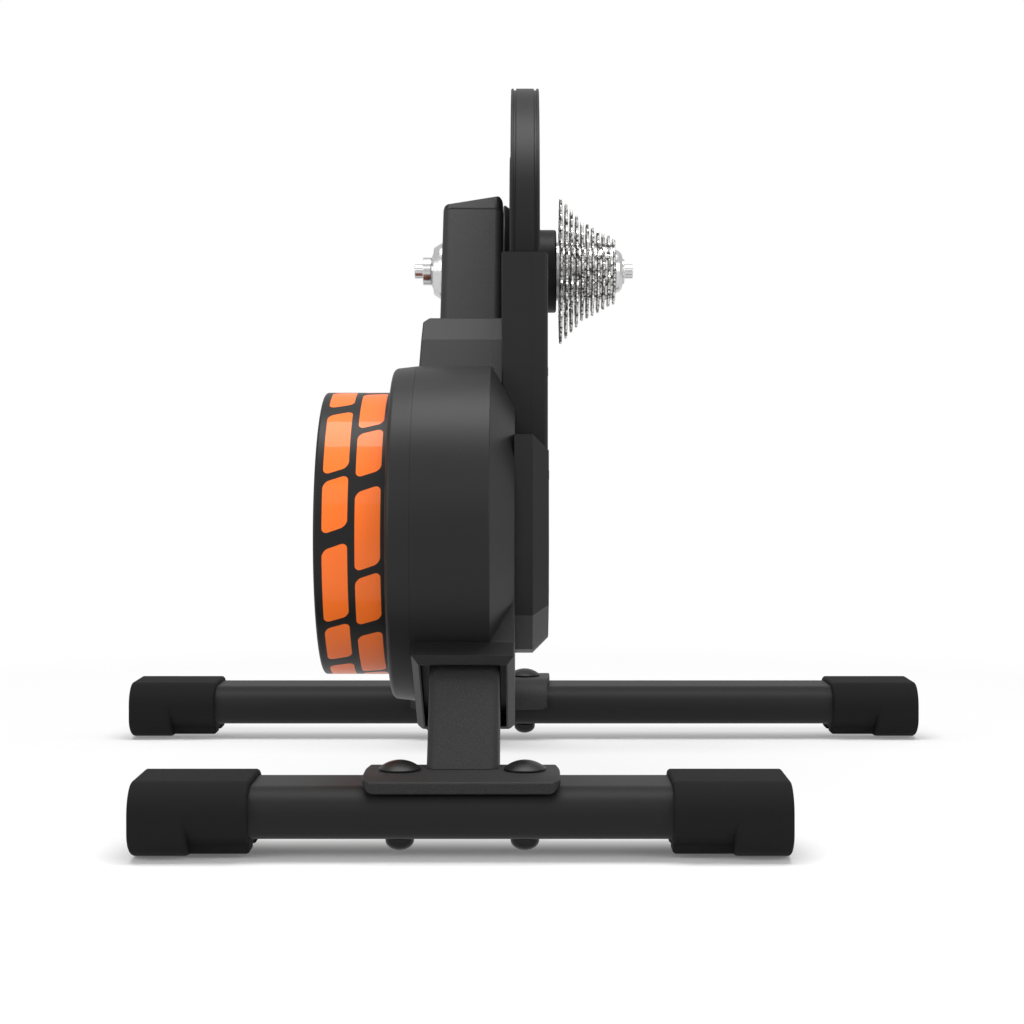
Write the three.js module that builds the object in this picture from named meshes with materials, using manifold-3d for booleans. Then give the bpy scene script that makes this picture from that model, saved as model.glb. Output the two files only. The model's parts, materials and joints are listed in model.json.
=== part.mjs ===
// Direct drive bike trainer: a fixed A-frame on two cross legs, with an outboard flywheel,
// a belt drive in a moulded case, and a cassette on a fixed hollow axle.
// Millimetres. +Z is up, +X is the drive side, +Y is the riding direction.
// The origin lies on the floor under the middle of the outer box.

import * as THREE from 'three';
import { mergeVertices } from 'three/addons/utils/BufferGeometryUtils.js';
import Module from 'manifold-3d';

const wasm = await Module();
wasm.setup();

// Fits and finish
const FIT = 0.3;
const OVERRUN = 6;
const FULL_TURN = Math.PI * 2;

// Facets round a full circle
const LARGE_SIDES = 28;
const MEDIUM_SIDES = 20;
const SMALL_SIDES = 16;
const LEAST_SIDES = 12;

// Stance
const LEG_SPACING = 463;
const TOWER_OFFSET = 35.5;
const AXLE_FORWARD = 25.9;
const AXLE_HEIGHT = 357;
const TOWER_SET_IN = 42.8;
const SHAFT_DROP = 217.8;
const DROPOUT_SPACING = 142;

// Tower tube
const TOWER_WIDTH = 42;
const TOWER_DEPTH = 70;
const TOWER_CORNER = 6;
const TOWER_WALL = 3;
const TOWER_ABOVE_AXLE = 27.5;
const TOWER_FOOT_HEIGHT = 18;

// Tower cap
const CAP_LOW_RISE = 4.6;
const CAP_HIGH_RISE = 13.6;
const CAP_ROUND = 4;
const CAP_PLUG = 12;

// Front strut
const STRUT_DEPTH = 50;
const STRUT_SEAT = 31.5;

// Leg tubes
const LEG_HEIGHT = 32;
const LEG_DEPTH = 66;
const LEG_WALL = 2.5;
const LEG_GROUND_GAP = 9;
const REAR_LEG_SPAN = 375;
const FRONT_LEG_SPAN = 626;

// Feet
const FOOT_LENGTH = 67.5;
const FOOT_PAD_LENGTH = 33;
const FOOT_DEPTH = 74;
const FOOT_HEIGHT = 44.2;
const FOOT_END_WALL = 5;
const FOOT_SHOULDER = 17.2;
const FOOT_BELLY = 17.2;
const FOOT_CORNER = 2;
const FOOT_END_ROUND = 3;
const FOOT_HEEL_DEPTH = 48;
const FOOT_HEEL_HEIGHT = 8.5;

// Saddles
const SADDLE_LENGTH = 114.8;
const SADDLE_THICKNESS = 5.7;
const SADDLE_CORNER = 11;
const SADDLE_LIP_ANGLE = THREE.MathUtils.degToRad(45);
const SADDLE_FLANGE_HEIGHT = 24.4;
const SADDLE_FLANGE_CORNER = 9;

// Leg fasteners
const BOLT_SPACING = 72.4;
const BOLT_RADIUS = 5;
const BOLT_HEAD_RADIUS = 12.2;
const BOLT_HEAD_HEIGHT = 5.5;
const BOLT_HEAD_RIM = 0.9;
const NUT_RADIUS = 8.35;
const NUT_GROUND_GAP = 0.8;
const NUT_SKIRT = 2;
const NUT_CROWN = 2.2;

// Hub axle line
const AXLE_RADIUS = 8.5;
const AXLE_BORE = 5.6;
const SKEWER_BORE = 3.2;
const STUB_RADIUS = 5;
const STUB_LENGTH = 6;
const STUB_EDGE = 0.6;
const END_CAP_RADIUS = 9.8;
const END_CAP_WIDTH = 5.7;
const END_CAP_PLUG = 12;
const AXLE_FLANGE_RADII = [20.2, 19.4, 16.5, 13.5, 10];
const AXLE_FLANGE_WIDTH = 8.2;
const AXLE_FLANGE_SHARES = [0, 0.25, 0.8, 0.8, 1];
const AXLE_SLEEVE_RADIUS = 15;

// Drive pulley and hub
const BELT_PLANE = 0.3;
const BELT_WIDTH = 10;
const BELT_THICKNESS = 2.8;
const PULLEY_WIDTH = 13;
const PULLEY_LIP = 1.2;
const PULLEY_LIP_RISE = 1.5;
const DRIVE_PULLEY_RADIUS = 68;
const DRIVE_RIM = 6.5;
const DRIVE_WEB = 3.5;
const DRIVE_HOLE_RADIUS = 13;
const DRIVE_HOLE_CIRCLE = 43;
const DRIVE_HOLES = 5;
const HUB_RADIUS = 22;
const HUB_RIGHT = 20.5;
const HUB_BEARING_RADIUS = 16;
const HUB_BEARING_WIDTH = 8;

// Cassette
const SPROCKET_TEETH = [25, 23, 21, 19, 17, 16, 15, 14, 13, 12, 11];
const CHAIN_PITCH = 12.7;
const SPROCKET_PITCH = 3.74;
const SPROCKET_THICKNESS = 1.8;
const SPROCKET_TIP_RISE = 0.9;
const SPROCKET_ROOT_DROP = 3.9;
const SPROCKET_SPACER = 2.4;
const SPROCKET_WINDOWS = 5;
const WINDOW_RIM = 3.6;
const WINDOW_HUB = 2.6;
const WINDOW_LEAST = 4.5;
const WINDOW_ARM_SHARE = 0.3;
const TOOTH_SHARES = [[0, 0], [0.5, 1]];
const FIRST_SPROCKET = 26;
const FREEHUB_RADIUS = 17.3;
const FREEHUB_BORE = 9;
const FREEHUB_FLANGE = 20.5;
const FREEHUB_SPLINES = 9;
const SPLINE_DEPTH = 1.1;
const SPLINE_GAP_SHARE = 0.25;
const LOCKRING_WIDTH = 5.2;
const LOCKRING_RADIUS = 15.6;
const LOCKRING_NOSE = 9.9;
const LOCKRING_SHARES = [[0.85, 0.8], [0.5, 0.92], [0, 1]];
const LOCKRING_BORE = 9.4;
const LOCKRING_SKIRT_RADIUS = 12.6;
const LOCKRING_SKIRT = 5;

// Flywheel line
const FLYWHEEL_RADIUS = 90.4;
const FLYWHEEL_LEFT = 126.8;
const FLYWHEEL_RIGHT = 80.3;
const FLYWHEEL_ROUND = 1.8;
const FLYWHEEL_RIM = 22;
const FLYWHEEL_DISH = 14.8;
const FLYWHEEL_WEB = 12;
const FLYWHEEL_HUB = 22;
const FLYWHEEL_HUB_SET_BACK = 8.8;
const FLYWHEEL_DRAFT = 2;
const SHAFT_RADIUS = 7.5;
const SHAFT_END = 3;
const SHAFT_NUT_RADIUS = 13;
const SHAFT_NUT_WIDTH = 6;
const SHAFT_PULLEY_RADIUS = 14;
const SHAFT_SLEEVE_RADIUS = 21.5;
const SHAFT_BEARING_RADIUS = 17.5;
const SHAFT_BEARING_WIDTH = 11;

// Brake
const ROTOR_RADIUS = 85;
const ROTOR_THICKNESS = 3.5;
const BRAKE_PLATE_CLEARANCE = 8.8;
const BRAKE_PLATE_THICKNESS = 2.7;
const BRAKE_POLES = 4;
const POLE_RADIUS = 8;
const POLE_CIRCLE = 52;
const POLE_GAP = 1;
const COIL_RADIUS = 17;
const COIL_SET_BACK = 1;

// Flywheel guard and main housing
const HOUSING_WALL = 3;
const GUARD_LEFT = 83;
const GUARD_PARTING = 67.9;
const GUARD_RADIUS = 105.7;
const GUARD_ROUND = 3.5;
const GUARD_ROUND_SHARE = 0.3;
const GUARD_OPENING_GAP = 3.1;
const HOUSING_RADIUS = 107.4;
const HOUSING_PARTING = 20.5;
const HOUSING_RIGHT = 6.6;
const HOUSING_BEVEL = 14;
const COLLAR_LEFT = 67.5;
const COLLAR_TOP = 70.5;
const COLLAR_BAND = 20.5;
const COLLAR_STAND_OFF = 4.6;
const COLLAR_CORNER = 5;
const BOOT_LEFT = 67;
const BOOT_RIGHT = 5.5;
const BOOT_MOUTH = 336;
const BOOT_STAND_OFF = 10.5;
const BOOT_FRONT = 4;
const BOOT_FACE = 88;
const BOOT_FACE_LOW = 61.6;
const BOOT_FACE_HIGH = 20;
const BOOT_CORNER = 6;

// Belt case and handle
const CASE_WALL = 2.5;
const CASE_LEFT = 14.2;
const CASE_PARTING = 5;
const CASE_RIGHT = 15.6;
const CASE_TOP_ABOVE_AXLE = 2;
const CASE_UPPER_RADIUS = 129.4;
const CASE_UPPER_EDGE = 2;
const CASE_LOWER_RADIUS = 77;
const CASE_LOWER_FRONT = 70;
const CASE_LOWER_BEVEL = 10;
const CASE_LEDGE_ABOVE_SHAFT = 63.5;
const CASE_LEDGE_ROUND = 16;
const CASE_FACET_BELOW_SHAFT = 9;
const CASE_HEEL_BELOW_SHAFT = 48;
const CASE_BOTTOM_ANGLE = THREE.MathUtils.degToRad(20);
const HUMP_RADIUS = 80;
const HUMP_LEFT = 9.7;
const HUMP_RIGHT = 10.2;
const CONE_WIDE = 45.7;
const CONE_NARROW = 42.4;
const BOSS_RADIUS = 29.2;
const BOSS_BORE = 24;
const BOSS_RIGHT = 22.8;
const BOSS_ROUND = 1.5;
const HANDLE_RADIUS = 128.5;
const HANDLE_THICKNESS = 17;
const HANDLE_LEFT = 10;
const HANDLE_RIGHT = 10.5;
const HANDLE_RIM = 1.8;
const HANDLE_GROOVE = 1.6;
const HANDLE_GROOVE_DEPTH = 1.2;
const TENON_DEPTH = 14;
const TENON_INSET = 3;
const TENON_SIDE = 2;

// Idler
const IDLER_RADIUS = 18;
const IDLER_ALONG = 45;
const IDLER_ASIDE = 33;
const IDLER_PIN = 4;
const IDLER_ARM_WIDTH = 16;
const IDLER_ARM_THICKNESS = 3;
const IDLER_ARM_REACH = 34;

// Electronics
const BOARD_WIDTH = 36;
const BOARD_HEIGHT = 56;
const BOARD_THICKNESS = 1.6;
const BOARD_SET_BACK = 25;
const BOARD_POST_RADIUS = 3;
const BOARD_POST_SPACING = 44;
const INLET_X = 43;
const INLET_WIDTH = 14;
const INLET_HEIGHT = 11;
const INLET_LENGTH = 13;
const INLET_RADIUS = 6;
const INLET_BORE = 3.2;
const INLET_PROUD = 1;

// Worked out from the sizes above
const TOWER_X = -TOWER_OFFSET;
const TOWER_RIGHT = TOWER_X + TOWER_WIDTH / 2;
const TOWER_LEFT = TOWER_X - TOWER_WIDTH / 2;
const LEG_MIDDLE = LEG_GROUND_GAP + LEG_HEIGHT / 2;
const LEG_TOP = LEG_GROUND_GAP + LEG_HEIGHT;
const SADDLE_TOP = LEG_TOP + FIT + SADDLE_THICKNESS;
const LEAN = Math.atan2(AXLE_FORWARD + LEG_SPACING / 2 - TOWER_SET_IN, AXLE_HEIGHT - SADDLE_TOP);
const SHAFT_FORWARD = AXLE_FORWARD - SHAFT_DROP * Math.sin(LEAN);
const SHAFT_HEIGHT = AXLE_HEIGHT - SHAFT_DROP * Math.cos(LEAN);
const PULLEY_LEFT = BELT_PLANE - PULLEY_WIDTH / 2;
const PULLEY_RIGHT = BELT_PLANE + PULLEY_WIDTH / 2;
const LAST_SPROCKET = FIRST_SPROCKET + SPROCKET_PITCH * (SPROCKET_TEETH.length - 1);
const CASSETTE_END = LAST_SPROCKET + SPROCKET_THICKNESS / 2;
const AXLE_LEFT = TOWER_LEFT - FIT - AXLE_FLANGE_WIDTH;
const DROPOUT = DROPOUT_SPACING / 2;
const SPROCKET_BORE = FREEHUB_RADIUS + FIT;
const ROTOR_LEFT = -FLYWHEEL_RIGHT + FIT;
const ROTOR_RIGHT = ROTOR_LEFT + ROTOR_THICKNESS;
const BOARD_BACK = HOUSING_RADIUS - BOARD_SET_BACK - FIT - BOARD_THICKNESS;
const BRAKE_PLATE_RADIUS = BOARD_BACK - BRAKE_PLATE_CLEARANCE;

// Materials
function finish(color, roughness, metalness) {
  return new THREE.MeshStandardMaterial({ color, roughness, metalness });
}

const POWDER_COAT = finish(0x47474a, 0.7, 0.3);
const LEG_PAINT = finish(0x353537, 0.5, 0.35);
const CASE_PLASTIC = finish(0x333335, 0.55, 0);
const HANDLE_PLASTIC = finish(0x2b2b2d, 0.5, 0);
const FOOT_RUBBER = finish(0x242425, 0.85, 0);
const BLACK_STEEL = finish(0x202022, 0.4, 0.8);
const BRIGHT_STEEL = finish(0xc9cacc, 0.2, 1);
const SPROCKET_STEEL = finish(0xa9abae, 0.3, 1);
const FLYWHEEL_PAINT = finish(0x1d1d1f, 0.45, 0.4);
const ALUMINIUM = finish(0xb4b6b9, 0.35, 1);
const BELT_RUBBER = finish(0x161617, 0.9, 0);
const COPPER = finish(0xa4622f, 0.35, 1);
const BOARD_GREEN = finish(0x1f5a34, 0.6, 0);
const INLET_PLASTIC = finish(0x151516, 0.6, 0);

// Closed solids and how they are joined and cut
function closed(geometry) {
  const bare = geometry.clone();
  bare.deleteAttribute('normal');
  bare.deleteAttribute('uv');
  const merged = mergeVertices(bare, 1e-4);
  const index = merged.index.array;
  const kept = [];
  for (let i = 0; i < index.length; i += 3) {
    const [a, b, c] = [index[i], index[i + 1], index[i + 2]];
    if (a !== b && b !== c && c !== a) {
      kept.push(a, b, c);
    }
  }
  merged.setIndex(kept);
  return merged;
}

function solid(geometry) {
  const body = closed(geometry);
  return new wasm.Manifold(new wasm.Mesh({
    numProp: 3,
    vertProperties: new Float32Array(body.attributes.position.array),
    triVerts: new Uint32Array(body.index.array),
  }));
}

function geometryOf(body) {
  const cut = body.getMesh();
  const geometry = new THREE.BufferGeometry();
  geometry.setAttribute('position', new THREE.BufferAttribute(new Float32Array(cut.vertProperties), 3));
  geometry.setIndex(new THREE.BufferAttribute(new Uint32Array(cut.triVerts), 1));
  geometry.computeVertexNormals();
  return geometry;
}

function joined(...parts) {
  return parts.map(solid).reduce((sum, part) => sum.add(part));
}

function without(body, ...tools) {
  return tools.map(solid).reduce((rest, tool) => rest.subtract(tool), body);
}

// Profiles
function polygon(points, Kind = THREE.Shape) {
  return new Kind(points.map(([u, v]) => new THREE.Vector2(u, v)));
}

function circle(radius, sides, u = 0, v = 0, start = 0) {
  const points = [];
  for (let i = 0; i < sides; i += 1) {
    const angle = start + (FULL_TURN * i) / sides;
    points.push([u + radius * Math.cos(angle), v + radius * Math.sin(angle)]);
  }
  return points;
}

function arc(radius, from, to, steps, u = 0, v = 0) {
  const points = [];
  for (let i = 0; i <= steps; i += 1) {
    const angle = from + ((to - from) * i) / steps;
    points.push([u + radius * Math.cos(angle), v + radius * Math.sin(angle)]);
  }
  return points;
}

function roundedRectangle(width, height, radius, steps = 2) {
  const u = width / 2 - radius;
  const v = height / 2 - radius;
  const quarter = Math.PI / 2;
  return [
    ...arc(radius, 0, quarter, steps, u, v),
    ...arc(radius, quarter, 2 * quarter, steps, -u, v),
    ...arc(radius, 2 * quarter, 3 * quarter, steps, -u, -v),
    ...arc(radius, 3 * quarter, 4 * quarter, steps, u, -v),
  ];
}

function bore(radius, sides) {
  return circle(radius / Math.cos(Math.PI / sides), sides);
}

function shifted(points, du, dv) {
  return points.map(([u, v]) => [u + du, v + dv]);
}

// Extrusions: a profile drawn in one plane, run along the axis that the name gives
const FROM_YZ = new THREE.Matrix4().makeBasis(
  new THREE.Vector3(0, 1, 0),
  new THREE.Vector3(0, 0, 1),
  new THREE.Vector3(1, 0, 0),
);
const FROM_XZ = new THREE.Matrix4().makeBasis(
  new THREE.Vector3(1, 0, 0),
  new THREE.Vector3(0, 0, 1),
  new THREE.Vector3(0, -1, 0),
);

function prismZ(outline, bottom, top, holes = []) {
  const shape = polygon(outline);
  shape.holes = holes.map((hole) => polygon(hole, THREE.Path));
  const geometry = new THREE.ExtrudeGeometry(shape, { depth: top - bottom, bevelEnabled: false });
  return geometry.translate(0, 0, bottom);
}

function prismX(outline, left, right, holes = []) {
  return prismZ(outline, left, right, holes).applyMatrix4(FROM_YZ);
}

function prismY(outline, near, far, holes = []) {
  return prismZ(outline, -far, -near, holes).applyMatrix4(FROM_XZ);
}

function bevelledPrismX(outline, left, right, size, depth, segments) {
  const geometry = new THREE.ExtrudeGeometry(polygon(outline), {
    depth: right - left - 2 * depth,
    bevelThickness: depth,
    bevelSize: size,
    bevelOffset: -size,
    bevelSegments: segments,
  });
  return geometry.translate(0, 0, left + depth).applyMatrix4(FROM_YZ);
}

function box(left, right, near, far, bottom, top) {
  const geometry = new THREE.BoxGeometry(right - left, far - near, top - bottom);
  return geometry.translate((left + right) / 2, (near + far) / 2, (bottom + top) / 2);
}

// Turned pieces: a profile of [place along the axis, radius]
function turned(profile, sides) {
  const points = profile.map(([along, radius]) => new THREE.Vector2(radius, along));
  if (THREE.ShapeUtils.area(points) < 0) {
    points.reverse();
  }
  const onAxis = points.filter((point) => point.x === 0).length;
  if (onAxis === 0) {
    points.push(points[0].clone());
  }
  return new THREE.LatheGeometry(points, sides);
}

function turnedX(profile, sides) {
  return turned(profile, sides).rotateZ(-Math.PI / 2);
}

function turnedZ(profile, sides) {
  return turned(profile, sides).rotateX(Math.PI / 2);
}

function rodX(radius, left, right, sides) {
  return turnedX([[left, 0], [left, radius], [right, radius], [right, 0]], sides);
}

function ringX(inner, outer, left, right, sides) {
  return turnedX([[left, inner], [left, outer], [right, outer], [right, inner]], sides);
}

function rodZ(radius, bottom, top, sides) {
  return turnedZ([[bottom, 0], [bottom, radius], [top, radius], [top, 0]], sides);
}

// Scene graph: the frames that the pieces are drawn in
const trainer = new THREE.Group();

function frame(x, y, z, turnX = 0, turnZ = 0) {
  const group = new THREE.Group();
  group.position.set(x, y, z);
  group.rotation.set(turnX, 0, turnZ);
  trainer.add(group);
  group.updateMatrixWorld(true);
  return group;
}

const tower = frame(TOWER_X, AXLE_FORWARD, AXLE_HEIGHT, -LEAN);
const strut = frame(TOWER_X, LEG_SPACING / 2 - STRUT_SEAT, SADDLE_TOP, LEAN);
const rearStand = frame(TOWER_X, -LEG_SPACING / 2, 0);
const frontStand = frame(0, LEG_SPACING / 2, 0, 0, Math.PI);
const frontStandAtTower = frame(TOWER_X, LEG_SPACING / 2, 0, 0, Math.PI);
const axleLine = frame(0, AXLE_FORWARD, AXLE_HEIGHT);
const shaftLine = frame(0, SHAFT_FORWARD, SHAFT_HEIGHT);

function seenFrom(target, source, geometry) {
  const move = new THREE.Matrix4().copy(target.matrixWorld).invert().multiply(source.matrixWorld);
  return geometry.clone().applyMatrix4(move);
}

function place(parent, name, shape, material) {
  const geometry = shape.isBufferGeometry ? closed(shape) : geometryOf(shape);
  const mesh = new THREE.Mesh(geometry, material);
  mesh.name = name;
  parent.add(mesh);
  return mesh;
}

// Leg tubes, their feet, saddles and fasteners
function legSection(grow) {
  const height = LEG_HEIGHT + 2 * grow;
  const outline = roundedRectangle(LEG_DEPTH + 2 * grow, height, height / 2, 4);
  return shifted(outline, 0, LEG_MIDDLE);
}

function boltHole(x) {
  return rodZ(BOLT_RADIUS + FIT, -OVERRUN, SADDLE_TOP + OVERRUN, LEAST_SIDES).translate(x, 0, 0);
}

function boltPlaces(middle) {
  return [middle - BOLT_SPACING / 2, middle + BOLT_SPACING / 2];
}

function legTube(span, boltMiddle) {
  const half = span / 2 - FOOT_END_WALL;
  const tube = solid(prismX(legSection(0), -half, half, [legSection(-LEG_WALL)]));
  return without(tube, ...boltPlaces(boltMiddle).map(boltHole));
}

function footOutline() {
  const half = FOOT_DEPTH / 2;
  const shoulder = FOOT_HEIGHT - FOOT_SHOULDER;
  const quarter = Math.PI / 2;
  return [
    ...arc(FOOT_BELLY, -quarter, 0, 4, half - FOOT_BELLY, FOOT_BELLY),
    ...arc(FOOT_SHOULDER, 0, quarter, 4, half - FOOT_SHOULDER, shoulder),
    ...arc(FOOT_SHOULDER, quarter, 2 * quarter, 4, FOOT_SHOULDER - half, shoulder),
    ...arc(FOOT_BELLY, 2 * quarter, 3 * quarter, 4, FOOT_BELLY - half, FOOT_BELLY),
  ];
}

function heelOutline() {
  const half = FOOT_DEPTH / 2;
  const heel = FOOT_HEEL_DEPTH / 2;
  const shoulder = FOOT_HEIGHT - FOOT_SHOULDER;
  const quarter = Math.PI / 2;
  return [
    [heel - FOOT_CORNER, 0],
    [heel, FOOT_CORNER],
    [heel, FOOT_HEEL_HEIGHT],
    ...arc(FOOT_SHOULDER, -quarter / 2, quarter, 6, half - FOOT_SHOULDER, shoulder),
    ...arc(FOOT_SHOULDER, quarter, 2.5 * quarter, 6, FOOT_SHOULDER - half, shoulder),
    [-heel, FOOT_HEEL_HEIGHT],
    [-heel, FOOT_CORNER],
    [FOOT_CORNER - heel, 0],
  ];
}

function foot() {
  const pad = bevelledPrismX(footOutline(), 0, FOOT_PAD_LENGTH, FOOT_END_ROUND, FOOT_END_ROUND, 1);
  const heel = prismX(heelOutline(), FOOT_PAD_LENGTH / 2, FOOT_LENGTH);
  const socket = prismX(legSection(FIT), FOOT_END_WALL - FIT, FOOT_LENGTH + OVERRUN);
  return without(joined(pad, heel), socket);
}

function saddleOutline() {
  const reach = LEG_DEPTH / 2 - LEG_HEIGHT / 2;
  const inner = LEG_HEIGHT / 2 + FIT;
  const outer = inner + SADDLE_THICKNESS;
  const quarter = Math.PI / 2;
  return [
    [reach + inner, SADDLE_FLANGE_HEIGHT],
    [reach + outer, SADDLE_FLANGE_HEIGHT],
    ...arc(outer, 0, quarter, 4, reach, LEG_MIDDLE),
    ...arc(outer, quarter, quarter + SADDLE_LIP_ANGLE, 2, -reach, LEG_MIDDLE),
    ...arc(inner, quarter + SADDLE_LIP_ANGLE, quarter, 2, -reach, LEG_MIDDLE),
    ...arc(inner, quarter, 0, 4, reach, LEG_MIDDLE),
  ];
}

function cornerCut(size) {
  return [[-size, 0], [0, -size], [size, 0], [0, size]];
}

function saddle(middle) {
  const half = SADDLE_LENGTH / 2;
  const depth = LEG_DEPTH / 2 + FIT + SADDLE_THICKNESS;
  const plate = solid(prismX(saddleOutline(), middle - half, middle + half));
  const cuts = [];
  for (const side of [-half, half]) {
    const outer = shifted(cornerCut(SADDLE_CORNER), middle + side, -depth);
    cuts.push(prismZ(outer, 0, SADDLE_TOP + OVERRUN));
    const flange = shifted(cornerCut(SADDLE_FLANGE_CORNER), middle + side, SADDLE_FLANGE_HEIGHT);
    cuts.push(prismY(flange, 0, depth + OVERRUN));
  }
  return without(plate, ...cuts, ...boltPlaces(middle).map(boltHole));
}

function legBolt() {
  const seat = SADDLE_TOP + FIT;
  const rim = seat + BOLT_HEAD_RIM;
  const rise = BOLT_HEAD_HEIGHT - BOLT_HEAD_RIM;
  const dome = (BOLT_HEAD_RADIUS ** 2 + rise ** 2) / (2 * rise);
  const spread = Math.asin(BOLT_HEAD_RADIUS / dome);
  const crown = arc(dome, Math.PI / 2 - spread, Math.PI / 2, 2, 0, rim + rise - dome);
  const profile = crown.slice(0, -1).map(([radius, height]) => [height, radius]);
  return turnedZ([
    [LEG_GROUND_GAP - NUT_SKIRT - NUT_CROWN, 0],
    [LEG_GROUND_GAP - NUT_SKIRT - NUT_CROWN, BOLT_RADIUS],
    [seat, BOLT_RADIUS],
    [seat, BOLT_HEAD_RADIUS],
    ...profile,
    [rim + rise, 0],
  ], LEAST_SIDES);
}

function capNut() {
  const top = LEG_GROUND_GAP - FIT;
  const skirt = top - NUT_SKIRT;
  const floor = NUT_GROUND_GAP;
  const rise = skirt - floor;
  const bottom = LEG_GROUND_GAP - NUT_SKIRT - NUT_CROWN - FIT;
  const crown = arc(1, 0, Math.PI / 2, 2).map(([u, v]) => [skirt - rise * v, NUT_RADIUS * u]);
  return turnedZ([
    [bottom, 0],
    [bottom, BOLT_RADIUS + FIT],
    [top, BOLT_RADIUS + FIT],
    [top, NUT_RADIUS],
    ...crown.slice(0, -1),
    [floor, 0],
  ], LEAST_SIDES);
}

function buildStand(stand, name, span, middle) {
  place(stand, `${name}_leg_tube`, legTube(span, middle), LEG_PAINT);
  place(stand, `${name}_saddle`, saddle(middle), POWDER_COAT);
  const turnedRound = stand === frontStand;
  const ends = turnedRound ? ['right', 'left'] : ['left', 'right'];
  const leftFoot = place(stand, `${name}_foot_${ends[0]}`, foot(), FOOT_RUBBER);
  leftFoot.position.x = -span / 2;
  const rightFoot = place(stand, `${name}_foot_${ends[1]}`, foot(), FOOT_RUBBER);
  rightFoot.position.x = span / 2;
  rightFoot.rotation.z = Math.PI;
  boltPlaces(middle).forEach((x, i) => {
    place(stand, `${name}_leg_bolt_${ends[i]}`, legBolt(), BLACK_STEEL).position.x = x;
    place(stand, `${name}_leg_nut_${ends[i]}`, capNut(), BLACK_STEEL).position.x = x;
  });
}

buildStand(rearStand, 'rear', REAR_LEG_SPAN, 0);
buildStand(frontStand, 'front', FRONT_LEG_SPAN, TOWER_OFFSET);

// Tower tube, front strut and cap
function towerOutline(grow, corner = TOWER_CORNER) {
  return roundedRectangle(TOWER_WIDTH + 2 * grow, TOWER_DEPTH + 2 * grow, corner + grow);
}

function seatCuts(target, stand) {
  const far = LEG_DEPTH + TOWER_DEPTH;
  const half = SADDLE_LENGTH;
  const leg = prismX(legSection(2 * FIT + SADDLE_THICKNESS), -half, half);
  const seat = LEG_DEPTH / 2 + 2 * FIT + SADDLE_THICKNESS;
  const outside = box(-half, half, -far, seat, -LEG_SPACING, LEG_MIDDLE);
  const below = box(-half, half, -far, 2 * far, -LEG_SPACING, TOWER_FOOT_HEIGHT);
  return [leg, outside, below].map((tool) => seenFrom(target, stand, tool));
}

function towerLength() {
  return AXLE_HEIGHT / Math.cos(LEAN) + TOWER_DEPTH;
}

function mainTube() {
  const bottom = -towerLength();
  const half = TOWER_WIDTH / 2;
  const shell = solid(prismZ(towerOutline(0), bottom, TOWER_ABOVE_AXLE, [towerOutline(-TOWER_WALL)]));
  const inside = half - TOWER_WALL / 2;
  const axleSleeve = rodX(AXLE_SLEEVE_RADIUS, -inside, inside, SMALL_SIDES);
  const shaftSleeve = rodX(SHAFT_SLEEVE_RADIUS, -inside, inside, SMALL_SIDES).translate(0, 0, -SHAFT_DROP);
  const axleBore = rodX(AXLE_RADIUS + FIT, -half - OVERRUN, half + OVERRUN, SMALL_SIDES);
  const shaftBore = rodX(SHAFT_BEARING_RADIUS + FIT, -half - OVERRUN, half + OVERRUN, MEDIUM_SIDES);
  const welded = shell.add(joined(axleSleeve, shaftSleeve));
  return without(welded, axleBore, shaftBore.translate(0, 0, -SHAFT_DROP), ...seatCuts(tower, rearStand));
}

function frontStrut() {
  const length = towerLength();
  const outer = roundedRectangle(TOWER_WIDTH, STRUT_DEPTH, TOWER_CORNER);
  const wall = 2 * TOWER_WALL;
  const inner = roundedRectangle(TOWER_WIDTH - wall, STRUT_DEPTH - wall, TOWER_CORNER - TOWER_WALL);
  const shell = solid(prismZ(outer, -LEG_TOP - TOWER_DEPTH, length, [inner]));
  const front = -TOWER_DEPTH / 2 - FIT;
  const beyond = box(-TOWER_WIDTH, TOWER_WIDTH, front - length, -front, -length, length);
  return without(shell, seenFrom(strut, tower, beyond), ...seatCuts(strut, frontStandAtTower));
}

function towerCap() {
  const half = TOWER_WIDTH / 2;
  const seat = TOWER_ABOVE_AXLE + FIT;
  const low = TOWER_ABOVE_AXLE + CAP_LOW_RISE;
  const high = TOWER_ABOVE_AXLE + CAP_HIGH_RISE;
  const slope = Math.atan2(high - low, TOWER_WIDTH);
  const quarter = Math.PI / 2;
  const profile = [
    [-half, seat],
    [half, seat],
    ...arc(CAP_ROUND, 0, quarter + slope, 3, half - CAP_ROUND, high - CAP_ROUND),
    ...arc(CAP_ROUND, quarter + slope, 2 * quarter, 3, CAP_ROUND - half, low - CAP_ROUND),
  ];
  const crown = solid(prismY(profile, -TOWER_DEPTH, TOWER_DEPTH));
  const head = crown.intersect(solid(prismZ(towerOutline(0), seat - OVERRUN, high + OVERRUN)));
  const plug = prismZ(towerOutline(-TOWER_WALL - FIT), TOWER_ABOVE_AXLE - CAP_PLUG, seat + CAP_ROUND / 4);
  return head.add(solid(plug));
}

place(tower, 'main_tube', mainTube(), POWDER_COAT);
place(strut, 'front_strut', frontStrut(), POWDER_COAT);
place(tower, 'tower_cap', towerCap(), CASE_PLASTIC);

// Hub axle, its flange and end caps
function endCap(radius, seat) {
  const bore = AXLE_BORE - FIT;
  return turnedX([
    [DROPOUT + STUB_LENGTH, SKEWER_BORE],
    [DROPOUT + STUB_LENGTH, STUB_RADIUS - STUB_EDGE],
    [DROPOUT + STUB_LENGTH - STUB_EDGE, STUB_RADIUS],
    [DROPOUT, STUB_RADIUS],
    [DROPOUT, radius],
    [seat, radius],
    [seat, bore],
    [seat - END_CAP_PLUG, bore],
    [seat - END_CAP_PLUG, SKEWER_BORE],
  ], LEAST_SIDES);
}

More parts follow.
